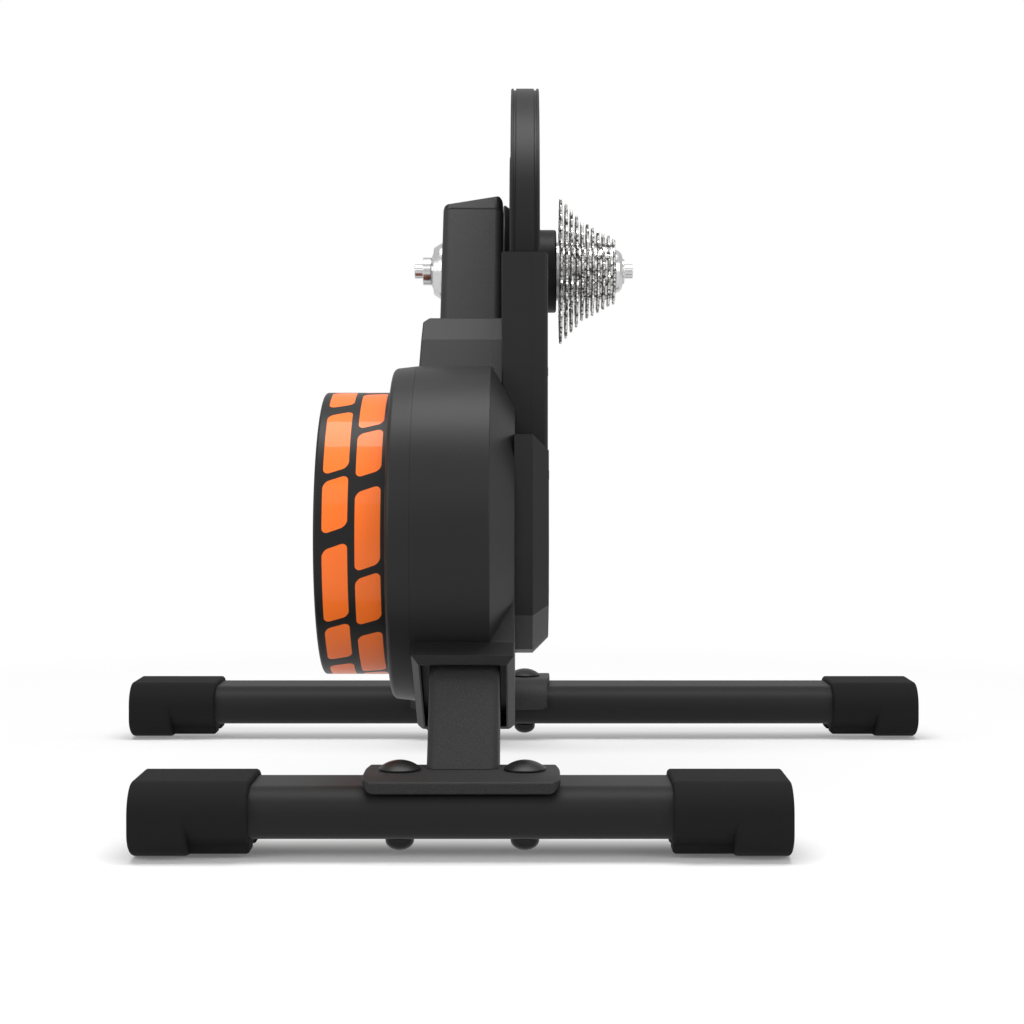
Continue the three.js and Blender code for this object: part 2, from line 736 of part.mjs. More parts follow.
function buildAxle() {
  const rightSeat = DROPOUT - END_CAP_WIDTH + FIT;
  const axleRight = rightSeat - FIT;
  const leftSeat = -AXLE_LEFT + FIT;
  const flangeRight = TOWER_LEFT - FIT;
  const axle = ringX(AXLE_BORE, AXLE_RADIUS, AXLE_LEFT + FIT, axleRight, SMALL_SIDES);
  place(axleLine, 'hub_axle', axle, BRIGHT_STEEL);
  place(axleLine, 'axle_flange', turnedX([
    [flangeRight, AXLE_RADIUS + FIT],
    ...AXLE_FLANGE_SHARES.map((share, i) => [flangeRight - AXLE_FLANGE_WIDTH * share, AXLE_FLANGE_RADII[i]]),
    [AXLE_LEFT, AXLE_RADIUS + FIT],
  ], SMALL_SIDES), BRIGHT_STEEL);
  const leftCap = endCap(END_CAP_RADIUS, leftSeat).rotateZ(Math.PI);
  place(axleLine, 'left_end_cap', leftCap, BRIGHT_STEEL);
  const rightRadius = LOCKRING_BORE - 2 * FIT;
  place(axleLine, 'right_end_cap', endCap(rightRadius, rightSeat), BRIGHT_STEEL);
}

buildAxle();

// Hub bearings and drive pulley
function buildDrivePulley() {
  const left = PULLEY_LEFT;
  const bore = HUB_BEARING_RADIUS + FIT;
  const lip = DRIVE_PULLEY_RADIUS + PULLEY_LIP_RISE;
  const rim = DRIVE_PULLEY_RADIUS - DRIVE_RIM;
  const webLeft = BELT_PLANE - DRIVE_WEB / 2;
  const webRight = BELT_PLANE + DRIVE_WEB / 2;
  const wheel = turnedX([
    [left, bore],
    [HUB_RIGHT, bore],
    [HUB_RIGHT, HUB_RADIUS],
    [webRight, HUB_RADIUS],
    [webRight, rim],
    [PULLEY_RIGHT, rim],
    [PULLEY_RIGHT, lip],
    [PULLEY_RIGHT - PULLEY_LIP, lip],
    [PULLEY_RIGHT - PULLEY_LIP, DRIVE_PULLEY_RADIUS],
    [left + PULLEY_LIP, DRIVE_PULLEY_RADIUS],
    [left + PULLEY_LIP, lip],
    [left, lip],
    [left, rim],
    [webLeft, rim],
    [webLeft, HUB_RADIUS],
    [left, HUB_RADIUS],
  ], MEDIUM_SIDES);
  const holes = circle(DRIVE_HOLE_CIRCLE, DRIVE_HOLES).map(([y, z]) => (
    rodX(DRIVE_HOLE_RADIUS, webLeft - OVERRUN, webRight + OVERRUN, LEAST_SIDES).translate(0, y, z)
  ));
  place(axleLine, 'drive_pulley', without(solid(wheel), ...holes), ALUMINIUM);
  const leftBearing = left + FIT;
  const rightBearing = HUB_RIGHT - FIT - HUB_BEARING_WIDTH;
  const inner = AXLE_RADIUS + FIT;
  for (const [name, x] of [['left', leftBearing], ['right', rightBearing]]) {
    const bearing = ringX(inner, HUB_BEARING_RADIUS, x, x + HUB_BEARING_WIDTH, SMALL_SIDES);
    place(axleLine, `hub_bearing_${name}`, bearing, BRIGHT_STEEL);
  }
}

buildDrivePulley();

// Freehub body, sprockets and lockring
function splineOutline() {
  const points = [];
  const step = FULL_TURN / FREEHUB_SPLINES;
  for (let i = 0; i < FREEHUB_SPLINES; i += 1) {
    const start = i * step;
    const land = start + step * (1 - SPLINE_GAP_SHARE);
    points.push(...arc(FREEHUB_RADIUS, start, land, 1));
    points.push(...arc(FREEHUB_RADIUS - SPLINE_DEPTH, land, start + step, 1));
  }
  return points;
}

function freehubBody() {
  const left = HUB_RIGHT + FIT;
  const flangeRight = FIRST_SPROCKET - SPROCKET_THICKNESS / 2 - FIT;
  const right = CASSETTE_END - FIT;
  const splined = prismX(splineOutline(), left + FIT, right);
  const flange = rodX(FREEHUB_FLANGE, left, flangeRight, MEDIUM_SIDES);
  const bore = rodX(FREEHUB_BORE, left - OVERRUN, right + OVERRUN, SMALL_SIDES);
  const threadLeft = CASSETTE_END - LOCKRING_SKIRT - FIT;
  const thread = rodX(LOCKRING_SKIRT_RADIUS + FIT, threadLeft, right + OVERRUN, SMALL_SIDES);
  return without(joined(splined, flange), bore, thread);
}

function sprocketOutline(teeth) {
  const pitchRadius = CHAIN_PITCH / 2 / Math.sin(Math.PI / teeth);
  const root = pitchRadius - SPROCKET_ROOT_DROP;
  const height = SPROCKET_ROOT_DROP + SPROCKET_TIP_RISE;
  const points = [];
  for (let tooth = 0; tooth < teeth; tooth += 1) {
    for (const [turnShare, heightShare] of TOOTH_SHARES) {
      const angle = (FULL_TURN * (tooth + turnShare)) / teeth;
      const radius = root + height * heightShare;
      points.push([radius * Math.cos(angle), radius * Math.sin(angle)]);
    }
  }
  return points;
}

function sprocketWindows(teeth) {
  const root = CHAIN_PITCH / 2 / Math.sin(Math.PI / teeth) - SPROCKET_ROOT_DROP;
  const outer = root - WINDOW_RIM;
  const inner = SPROCKET_BORE + SPROCKET_SPACER + WINDOW_HUB;
  if (outer - inner < WINDOW_LEAST) {
    return [];
  }
  const step = FULL_TURN / SPROCKET_WINDOWS;
  const windows = [];
  for (let i = 0; i < SPROCKET_WINDOWS; i += 1) {
    const start = (i + WINDOW_ARM_SHARE / 2) * step;
    const end = (i + 1 - WINDOW_ARM_SHARE / 2) * step;
    windows.push([...arc(outer, start, end, 1), ...arc(inner, end, start, 1)]);
  }
  return windows;
}

function sprocket(teeth, last) {
  const half = SPROCKET_THICKNESS / 2;
  const opening = bore(SPROCKET_BORE, LEAST_SIDES);
  const blade = prismX(sprocketOutline(teeth), -half, half, [opening, ...sprocketWindows(teeth)]);
  if (last) {
    return blade;
  }
  const spacerOuter = SPROCKET_BORE + SPROCKET_SPACER;
  const spacer = prismX(circle(spacerOuter, LEAST_SIDES), 0, SPROCKET_PITCH - half - FIT, [opening]);
  return joined(blade, spacer);
}

function buildCassette() {
  place(axleLine, 'freehub_body', freehubBody(), ALUMINIUM);
  SPROCKET_TEETH.forEach((teeth, i) => {
    const last = i === SPROCKET_TEETH.length - 1;
    const cog = place(axleLine, `sprocket_${teeth}t`, sprocket(teeth, last), SPROCKET_STEEL);
    cog.position.x = FIRST_SPROCKET + i * SPROCKET_PITCH;
  });
  const face = CASSETTE_END + FIT;
  place(axleLine, 'cassette_lockring', turnedX([
    [face - LOCKRING_SKIRT, LOCKRING_BORE],
    [face + LOCKRING_WIDTH, LOCKRING_BORE],
    [face + LOCKRING_WIDTH, LOCKRING_NOSE],
    ...LOCKRING_SHARES.map(([along, out]) => [face + LOCKRING_WIDTH * along, LOCKRING_RADIUS * out]),
    [face, LOCKRING_SKIRT_RADIUS],
    [face - LOCKRING_SKIRT, LOCKRING_SKIRT_RADIUS],
  ], SMALL_SIDES), BRIGHT_STEEL);
}

buildCassette();

// Flywheel, its shaft, bearings and brake
function flywheel() {
  const left = -FLYWHEEL_LEFT;
  const right = -FLYWHEEL_RIGHT;
  const bore = SHAFT_RADIUS + FIT;
  const rim = FLYWHEEL_RADIUS - FLYWHEEL_RIM;
  const webLeft = left + FLYWHEEL_DISH;
  const webRight = webLeft + FLYWHEEL_WEB;
  const hubLeft = left + FLYWHEEL_HUB_SET_BACK;
  return turnedX([
    [hubLeft, bore],
    [right, bore],
    [right, FLYWHEEL_HUB],
    [webRight, FLYWHEEL_HUB + FLYWHEEL_DRAFT],
    [webRight, rim - FLYWHEEL_DRAFT],
    [right, rim],
    [right, FLYWHEEL_RADIUS - FLYWHEEL_ROUND],
    [right - FLYWHEEL_ROUND, FLYWHEEL_RADIUS],
    [left + FLYWHEEL_ROUND, FLYWHEEL_RADIUS],
    [left, FLYWHEEL_RADIUS - FLYWHEEL_ROUND],
    [left, rim + FLYWHEEL_DRAFT],
    [webLeft, rim - FLYWHEEL_DRAFT],
    [webLeft, FLYWHEEL_HUB + FLYWHEEL_DRAFT],
    [hubLeft, FLYWHEEL_HUB],
  ], LARGE_SIDES);
}

function flywheelShaft() {
  const nutRight = -FLYWHEEL_LEFT + FLYWHEEL_HUB_SET_BACK - FIT;
  const nutLeft = nutRight - SHAFT_NUT_WIDTH;
  const rod = rodX(SHAFT_RADIUS, nutLeft - SHAFT_END / 2, PULLEY_RIGHT + SHAFT_END / 2, SMALL_SIDES);
  const nut = prismX(circle(SHAFT_NUT_RADIUS, 6), nutLeft, nutRight);
  return joined(rod, nut);
}

function shaftPulley() {
  const lip = SHAFT_PULLEY_RADIUS + PULLEY_LIP_RISE;
  return turnedX([
    [PULLEY_LEFT, SHAFT_RADIUS + FIT],
    [PULLEY_RIGHT, SHAFT_RADIUS + FIT],
    [PULLEY_RIGHT, lip],
    [PULLEY_RIGHT - PULLEY_LIP, lip],
    [PULLEY_RIGHT - PULLEY_LIP, SHAFT_PULLEY_RADIUS],
    [PULLEY_LEFT + PULLEY_LIP, SHAFT_PULLEY_RADIUS],
    [PULLEY_LEFT + PULLEY_LIP, lip],
    [PULLEY_LEFT, lip],
  ], LEAST_SIDES);
}

function buildBrake() {
  const rotor = ringX(SHAFT_RADIUS + FIT, ROTOR_RADIUS, ROTOR_LEFT, ROTOR_RIGHT, MEDIUM_SIDES);
  place(shaftLine, 'brake_rotor', rotor, ALUMINIUM);
  const plateRight = TOWER_LEFT - FIT;
  const plateLeft = plateRight - BRAKE_PLATE_THICKNESS;
  const poleLeft = ROTOR_RIGHT + POLE_GAP;
  const opening = circle(SHAFT_SLEEVE_RADIUS, SMALL_SIDES);
  const disc = prismX(circle(BRAKE_PLATE_RADIUS, MEDIUM_SIDES), plateLeft, plateRight, [opening]);
  const places = circle(POLE_CIRCLE, BRAKE_POLES, 0, 0, LEAN);
  const poles = places.map(([y, z]) => (
    rodX(POLE_RADIUS, poleLeft, plateRight - FIT, LEAST_SIDES).translate(0, y, z)
  ));
  place(shaftLine, 'brake_plate', joined(disc, ...poles), BLACK_STEEL);
  places.forEach(([y, z], i) => {
    const coilLeft = poleLeft + COIL_SET_BACK;
    const coil = ringX(POLE_RADIUS + FIT, COIL_RADIUS, coilLeft, plateLeft - FIT, LEAST_SIDES);
    place(shaftLine, `brake_coil_${i + 1}`, coil, COPPER).position.set(0, y, z);
  });
}

function buildFlywheelLine() {
  place(shaftLine, 'flywheel', flywheel(), FLYWHEEL_PAINT);
  place(shaftLine, 'flywheel_shaft', flywheelShaft(), BRIGHT_STEEL);
  place(shaftLine, 'shaft_pulley', shaftPulley(), ALUMINIUM);
  const leftBearing = TOWER_LEFT + FIT;
  const rightBearing = TOWER_RIGHT - FIT - SHAFT_BEARING_WIDTH;
  for (const [name, x] of [['left', leftBearing], ['right', rightBearing]]) {
    const bearing = ringX(SHAFT_RADIUS + FIT, SHAFT_BEARING_RADIUS, x, x + SHAFT_BEARING_WIDTH, SMALL_SIDES);
    place(shaftLine, `flywheel_bearing_${name}`, bearing, BRIGHT_STEEL);
  }
  buildBrake();
}

buildFlywheelLine();

// Belt and idler, drawn about the shaft
const AXLE_FROM_SHAFT = [AXLE_FORWARD - SHAFT_FORWARD, AXLE_HEIGHT - SHAFT_HEIGHT];

function idlerCentre() {
  const along = [Math.sin(LEAN), Math.cos(LEAN)];
  const aside = [Math.cos(LEAN), -Math.sin(LEAN)];
  return [
    IDLER_ALONG * along[0] + IDLER_ASIDE * aside[0],
    IDLER_ALONG * along[1] + IDLER_ASIDE * aside[1],
  ];
}

// A closed loop over wheels, turning left round those of sense 1 and right round those of sense -1
function beltLoop(wheels) {
  const headings = wheels.map((wheel, i) => {
    const next = wheels[(i + 1) % wheels.length];
    const reach = [next.centre[0] - wheel.centre[0], next.centre[1] - wheel.centre[1]];
    const offset = next.sense * next.radius - wheel.sense * wheel.radius;
    return Math.atan2(reach[1], reach[0]) - Math.asin(offset / Math.hypot(...reach));
  });
  const points = [];
  wheels.forEach((wheel, i) => {
    const arrival = headings[(i + wheels.length - 1) % wheels.length];
    const turn = wheel.sense * (headings[i] - arrival);
    const sweep = ((turn % FULL_TURN) + FULL_TURN) % FULL_TURN;
    const from = arrival - (wheel.sense * Math.PI) / 2;
    const steps = Math.max(3, Math.round(sweep / (Math.PI / 20)));
    points.push(...arc(wheel.radius, from, from + wheel.sense * sweep, steps, ...wheel.centre));
  });
  return points;
}

function beltPath(lift) {
  return beltLoop([
    { centre: AXLE_FROM_SHAFT, radius: DRIVE_PULLEY_RADIUS + FIT + lift, sense: 1 },
    { centre: [0, 0], radius: SHAFT_PULLEY_RADIUS + FIT + lift, sense: 1 },
    { centre: idlerCentre(), radius: IDLER_RADIUS + FIT + BELT_THICKNESS - lift, sense: -1 },
  ]);
}

function buildBelt() {
  const half = BELT_WIDTH / 2;
  const belt = prismX(beltPath(BELT_THICKNESS), BELT_PLANE - half, BELT_PLANE + half, [beltPath(0)]);
  place(shaftLine, 'drive_belt', belt, BELT_RUBBER);
  const [y, z] = idlerCentre();
  const idler = ringX(IDLER_PIN + FIT, IDLER_RADIUS, PULLEY_LEFT, PULLEY_RIGHT, SMALL_SIDES);
  place(shaftLine, 'idler_pulley', idler, BRIGHT_STEEL).position.set(0, y, z);
  const armLeft = -CASE_LEFT + CASE_WALL + FIT;
  const armRight = armLeft + IDLER_ARM_THICKNESS;
  const round = IDLER_ARM_WIDTH / 2;
  const outline = [
    ...arc(round, Math.PI, FULL_TURN, 6),
    ...arc(round, 0, Math.PI, 6, 0, IDLER_ARM_REACH),
  ];
  const arm = prismX(outline, armLeft, armRight);
  const washer = rodX(round, armRight - FIT, PULLEY_LEFT - FIT, LEAST_SIDES);
  const pin = rodX(IDLER_PIN, armRight - FIT, PULLEY_RIGHT, LEAST_SIDES);
  const bracket = place(shaftLine, 'idler_arm', joined(arm, washer, pin), BLACK_STEEL);
  bracket.position.set(0, y, z);
}

buildBelt();

// Guard ring round the flywheel
function guardRing() {
  const left = -GUARD_LEFT;
  const right = -GUARD_PARTING - FIT;
  const opening = FLYWHEEL_RADIUS + GUARD_OPENING_GAP;
  return turnedX([
    [left, opening],
    [left, GUARD_RADIUS - GUARD_ROUND],
    [left + GUARD_ROUND * GUARD_ROUND_SHARE, GUARD_RADIUS - GUARD_ROUND * GUARD_ROUND_SHARE],
    [left + GUARD_ROUND, GUARD_RADIUS],
    [right, HOUSING_RADIUS],
    [right, HOUSING_RADIUS - HOUSING_WALL],
    [left + HOUSING_WALL, GUARD_RADIUS - HOUSING_WALL],
    [left + HOUSING_WALL, opening],
  ], LARGE_SIDES);
}

place(shaftLine, 'guard_ring', guardRing(), CASE_PLASTIC);

// Main housing: a drum round the brake, with a collar and a boot that grip the tower tube
function drum(shrink, left, right) {
  const outer = HOUSING_RADIUS - shrink;
  const bevelStart = -HOUSING_PARTING;
  const bevelEnd = outer - HOUSING_BEVEL;
  return turnedX([
    [left, 0],
    [left, outer],
    [bevelStart, outer],
    [right, bevelEnd],
    [right, 0],
  ], LARGE_SIDES);
}

function collar(shrink, openEnd) {
  const left = TOWER_OFFSET - COLLAR_LEFT + shrink;
  const right = TOWER_WIDTH / 2;
  const near = TOWER_DEPTH / 2 + COLLAR_STAND_OFF - shrink;
  const lip = TOWER_DEPTH / 2 + FIT;
  const top = -COLLAR_TOP - shrink + openEnd;
  const bandBottom = -COLLAR_TOP - COLLAR_BAND;
  const side = [
    [-near, -SHAFT_DROP],
    [near, -SHAFT_DROP],
    [near, bandBottom],
    [Math.min(lip, near), top],
    [-Math.min(lip, near), top],
    [-near, bandBottom],
  ];
  const front = [
    [left, -SHAFT_DROP],
    [right, -SHAFT_DROP],
    [right, top],
    [left + COLLAR_CORNER, top],
    [left, top - COLLAR_CORNER],
  ];
  const profile = solid(prismX(side, left, right));
  return profile.intersect(solid(prismY(front, -near - OVERRUN, near + OVERRUN)));
}

// A point given about the shaft, seen from the tower
function towerPoint(y, z) {
  const sine = Math.sin(LEAN);
  const cosine = Math.cos(LEAN);
  return [y * cosine - z * sine, y * sine + z * cosine - SHAFT_DROP];
}

function boot(shrink, openEnd) {
  const left = TOWER_OFFSET - BOOT_LEFT + shrink;
  const right = TOWER_OFFSET - BOOT_RIGHT - shrink;
  const near = TOWER_DEPTH / 2 + BOOT_STAND_OFF - shrink;
  const mouth = -BOOT_MOUTH + shrink - openEnd;
  const edge = -BOOT_MOUTH + BOOT_FRONT;
  const side = [
    [-near, mouth],
    [near - BOOT_CORNER, mouth],
    [near, -BOOT_MOUTH + BOOT_CORNER],
    [near, -SHAFT_DROP],
    [shrink - TOWER_DEPTH / 2, -SHAFT_DROP],
    towerPoint(shrink - BOOT_FACE, -BOOT_FACE_HIGH),
    towerPoint(shrink - BOOT_FACE, -BOOT_FACE_LOW),
    [-near, edge],
  ];
  return solid(prismX(side, left, right));
}

function towerPassage() {
  const passage = prismZ(towerOutline(FIT), -towerLength(), TOWER_ABOVE_AXLE);
  return solid(seenFrom(shaftLine, tower, passage));
}

function strutPassage() {
  const outline = roundedRectangle(TOWER_WIDTH + 2 * FIT, STRUT_DEPTH + 2 * FIT, TOWER_CORNER + FIT);
  return solid(seenFrom(shaftLine, strut, prismZ(outline, 0, towerLength())));
}

function inShaftLine(body) {
  const move = new THREE.Matrix4().copy(shaftLine.matrixWorld).invert().multiply(tower.matrixWorld);
  return solid(geometryOf(body).applyMatrix4(move));
}

function housingShell() {
  const left = -GUARD_PARTING;
  const right = -HOUSING_RIGHT;
  const outer = solid(drum(0, left, right)).add(inShaftLine(collar(0, 0))).add(inShaftLine(boot(0, 0)));
  const hollow = solid(drum(HOUSING_WALL, left - OVERRUN, right - CASE_WALL))
    .add(inShaftLine(collar(HOUSING_WALL, 0)))
    .add(inShaftLine(boot(HOUSING_WALL, 0)));
  return outer.subtract(hollow).subtract(towerPassage()).subtract(strutPassage());
}

const SHELL = housingShell();
const FAR = 4 * HOUSING_RADIUS;

function boardPosts() {
  const back = HOUSING_RADIUS - BOARD_SET_BACK;
  const front = HOUSING_RADIUS - HOUSING_WALL;
  return [-BOARD_POST_SPACING / 2, BOARD_POST_SPACING / 2].map((z) => {
    const reach = Math.sqrt(front ** 2 - z ** 2) + HOUSING_WALL / 2;
    const profile = [[back, 0], [back, BOARD_POST_RADIUS], [reach, BOARD_POST_RADIUS], [reach, 0]];
    const post = turned(profile, LEAST_SIDES);
    return post.translate(-INLET_X, 0, z);
  });
}

function mainHousing() {
  const split = box(-FAR, -HOUSING_PARTING - FIT / 2, -FAR, FAR, -FAR, FAR);
  const inlet = turned([
    [0, 0],
    [0, INLET_RADIUS + FIT],
    [HOUSING_RADIUS + OVERRUN, INLET_RADIUS + FIT],
    [HOUSING_RADIUS + OVERRUN, 0],
  ], SMALL_SIDES).translate(-INLET_X, 0, 0);
  const shell = SHELL.intersect(solid(split)).add(joined(...boardPosts()));
  return shell.subtract(solid(inlet));
}

place(shaftLine, 'main_housing', mainHousing(), CASE_PLASTIC);

// Control board and power inlet, behind the far wall of the drum
function buildElectronics() {
  const face = BOARD_BACK + BOARD_THICKNESS;
  const half = BOARD_WIDTH / 2;
  const board = box(-INLET_X - half, -INLET_X + half, BOARD_BACK, face, -BOARD_HEIGHT / 2, BOARD_HEIGHT / 2);
  place(shaftLine, 'control_board', board, BOARD_GREEN);
  const bodyNear = face + FIT;
  const bodyFar = bodyNear + INLET_LENGTH;
  const tip = HOUSING_RADIUS + INLET_PROUD;
  const width = INLET_WIDTH / 2;
  const body = box(-width, width, bodyNear, bodyFar, -INLET_HEIGHT / 2, INLET_HEIGHT / 2);
  const nose = turned([[bodyNear, 0], [bodyNear, INLET_RADIUS], [tip, INLET_RADIUS], [tip, 0]], SMALL_SIDES);
  const boreNear = bodyNear + FIT;
  const bore = turned([[boreNear, 0], [boreNear, INLET_BORE], [FAR, INLET_BORE], [FAR, 0]], SMALL_SIDES);
  const inlet = place(shaftLine, 'power_inlet', without(joined(body, nose), bore), INLET_PLASTIC);
  inlet.position.x = -INLET_X;
}

buildElectronics();

// Belt case: a leaf from the handle down to the shaft, with a thicker, bevelled lower part
function caseTangent() {
  const spread = Math.acos((CASE_UPPER_RADIUS - CASE_LOWER_RADIUS) / SHAFT_DROP);
  return -Math.PI / 2 - LEAN + spread;
}

function upperCaseOutline(inset) {
  const [axleY, axleZ] = AXLE_FROM_SHAFT;
  const radius = CASE_UPPER_RADIUS - inset;
  const top = axleZ + CASE_TOP_ABOVE_AXLE - inset;
  const tangent = caseTangent();
  const low = CASE_LOWER_RADIUS - inset;
  const near = axleY - radius;
  return [
    [near, -low / 2],
    [low * Math.cos(tangent), low * Math.sin(tangent)],
    ...arc(radius, tangent, -TENON_DEPTH / radius, 8, axleY, axleZ),
    [axleY + radius, top],
    [near, top],
  ];
}

function lowerCaseOutline(inset) {
  const radius = CASE_LOWER_RADIUS - inset;
  const tangent = caseTangent();
  const heel = -CASE_HEEL_BELOW_SHAFT;
  const facet = -CASE_FACET_BELOW_SHAFT;
  const ledge = CASE_LEDGE_ABOVE_SHAFT - inset;
  const round = CASE_LEDGE_ROUND - inset;
  const heelAngle = Math.asin(heel / CASE_LOWER_RADIUS);
  const front = inset - CASE_LOWER_FRONT;
  const quarter = Math.PI / 2;
  const bottom = arc(radius, -quarter - CASE_BOTTOM_ANGLE, tangent, 5);
  const farAngle = tangent + quarter / 2;
  return [
    [front, facet],
    [-radius * Math.cos(heelAngle), heel],
    ...bottom,
    ...arc(radius, farAngle, farAngle + quarter / 2, 2),
    [radius / 2, ledge],
    ...arc(round, quarter, 2 * quarter, 4, front + round, ledge - round),
  ];
}

function humpDisc(grow, left, right) {
  const [y, z] = AXLE_FROM_SHAFT;
  return rodX(HUMP_RADIUS + grow, left, right, LARGE_SIDES).translate(0, y, z);
}

function beltChamber() {
  const left = -CASE_LEFT + CASE_WALL;
  const right = CASE_RIGHT - CASE_WALL;
  const upper = prismX(upperCaseOutline(CASE_WALL), left, right);
  const bevel = CASE_LOWER_BEVEL;
  const lowerOutline = lowerCaseOutline(CASE_WALL);
  const lowerBack = prismX(lowerOutline, left, CASE_PARTING);
  const lowerFront = bevelledPrismX(lowerOutline, CASE_PARTING - 2 * bevel, right, bevel, bevel, 1);
  const hump = humpDisc(-CASE_WALL, -HUMP_LEFT + CASE_WALL, HUMP_RIGHT - CASE_WALL);
  return joined(upper, lowerBack, lowerFront, hump);
}

function handleSockets() {
  const [axleY, axleZ] = AXLE_FROM_SHAFT;
  const outer = HANDLE_RADIUS - TENON_INSET + FIT;
  const inner = HANDLE_RADIUS - HANDLE_THICKNESS + TENON_INSET - FIT;
  const left = -HANDLE_LEFT + TENON_SIDE - FIT;
  const right = HANDLE_RIGHT - TENON_SIDE + FIT;
  return [-1, 1].map((side) => {
    const ends = [axleY + side * inner, axleY + side * outer];
    return box(left, right, Math.min(...ends), Math.max(...ends), axleZ - TENON_DEPTH, axleZ + OVERRUN);
  });
}

function cutAll(body, ...tools) {
  return tools.reduce((rest, tool) => rest.subtract(tool), body);
}

function caseHalves() {
  const [y, z] = AXLE_FROM_SHAFT;
  const upper = upperCaseOutline(0);
  const lower = lowerCaseOutline(0);
  const chamber = beltChamber();
  const sockets = joined(...handleSockets());
  const gap = FIT / 2;
  const innerRight = CASE_PARTING - gap;
  const rightShell = SHELL.intersect(solid(box(-HOUSING_PARTING + gap, FAR, -FAR, FAR, -FAR, FAR)));
  const upperInner = prismX(upper, -CASE_LEFT, innerRight);
  const lowerInner = prismX(lower, -CASE_LEFT, innerRight);
  const cone = turnedX([
    [-CASE_LEFT, 0],
    [-CASE_LEFT, CONE_WIDE],
    [-HUMP_LEFT + gap, CONE_NARROW],
    [-HUMP_LEFT + gap, 0],
  ], MEDIUM_SIDES).translate(0, y, z);
  const inner = rightShell.add(joined(upperInner, lowerInner, cone, humpDisc(0, -HUMP_LEFT, innerRight)));
  const axleHole = solid(rodX(AXLE_RADIUS + 2 * FIT, -FAR, 0, SMALL_SIDES).translate(0, y, z));
  const shaftHole = solid(rodX(SHAFT_SLEEVE_RADIUS, -FAR, 0, SMALL_SIDES));
  const innerCase = cutAll(inner, chamber, sockets, axleHole, shaftHole);

  const outerLeft = CASE_PARTING + gap;
  const edge = CASE_UPPER_EDGE;
  const bevel = CASE_LOWER_BEVEL;
  const upperOuter = bevelledPrismX(upper, outerLeft - 2 * edge, CASE_RIGHT, edge, edge, 2);
  const lowerOuter = bevelledPrismX(lower, outerLeft - 2 * bevel, CASE_RIGHT, bevel, bevel, 1);
  const boss = turnedX([
    [outerLeft, 0],
    [outerLeft, BOSS_RADIUS],
    [BOSS_RIGHT - BOSS_ROUND, BOSS_RADIUS],
    [BOSS_RIGHT, BOSS_RADIUS - BOSS_ROUND],
    [BOSS_RIGHT, 0],
  ], MEDIUM_SIDES).translate(0, y, z);
  const keep = solid(box(outerLeft, FAR, -FAR, FAR, -FAR, FAR));
  const outer = joined(upperOuter, lowerOuter, boss, humpDisc(0, outerLeft, HUMP_RIGHT)).intersect(keep);
  const bossBore = solid(rodX(BOSS_BORE, -FAR, FAR, SMALL_SIDES).translate(0, y, z));
  return [innerCase, cutAll(outer, chamber, sockets, bossBore)];
}

const [innerCase, outerCase] = caseHalves();
place(shaftLine, 'belt_case_inner', innerCase, CASE_PLASTIC);
place(shaftLine, 'belt_case_outer', outerCase, CASE_PLASTIC);

// Carry handle: an arch about the axle, standing on the case by two tenons
function archOutline(outer, inner, foot) {
  const steps = 14;
  return [
    [outer, foot],
    ...arc(outer, 0, Math.PI, steps),
    [-outer, foot],
    [-inner, foot],
    ...arc(inner, Math.PI, 0, steps),
    [inner, foot],
  ];
}

function carryHandle() {
  const outer = HANDLE_RADIUS;
  const inner = HANDLE_RADIUS - HANDLE_THICKNESS;
  const seat = CASE_TOP_ABOVE_AXLE + FIT;
  const groove = HANDLE_GROOVE_DEPTH;
  const proud = archOutline(outer, inner, 0);
  const sunk = archOutline(outer - groove, inner + groove, 0);
  const left = -HANDLE_LEFT;
  const right = HANDLE_RIGHT;
  const core = prismX(sunk, left + HANDLE_RIM / 2, right - HANDLE_RIM / 2);
  const leftRim = prismX(proud, left, left + HANDLE_RIM);
  const rightRim = prismX(proud, right - HANDLE_RIM, right);
  const margin = HANDLE_RIM + HANDLE_GROOVE;
  const middle = prismX(proud, left + margin, right - margin);
  const arch = joined(core, leftRim, rightRim, middle);
  const belowSeat = solid(box(-FAR, FAR, -FAR, FAR, -FAR, seat));
  const tenons = [-1, 1].map((side) => {
    const ends = [side * (inner + TENON_INSET), side * (outer - TENON_INSET)];
    const near = Math.min(...ends);
    const far = Math.max(...ends);
    return box(left + TENON_SIDE, right - TENON_SIDE, near, far, FIT - TENON_DEPTH, seat + FIT);
  });
  return arch.subtract(belowSeat).add(joined(...tenons));
}

place(axleLine, 'carry_handle', carryHandle(), HANDLE_PLASTIC);

export default trainer;
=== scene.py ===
import json
import math
from functools import partial, partialmethod

import bmesh
import bpy
from mathutils import Matrix, Vector
from mathutils.geometry import tessellate_polygon


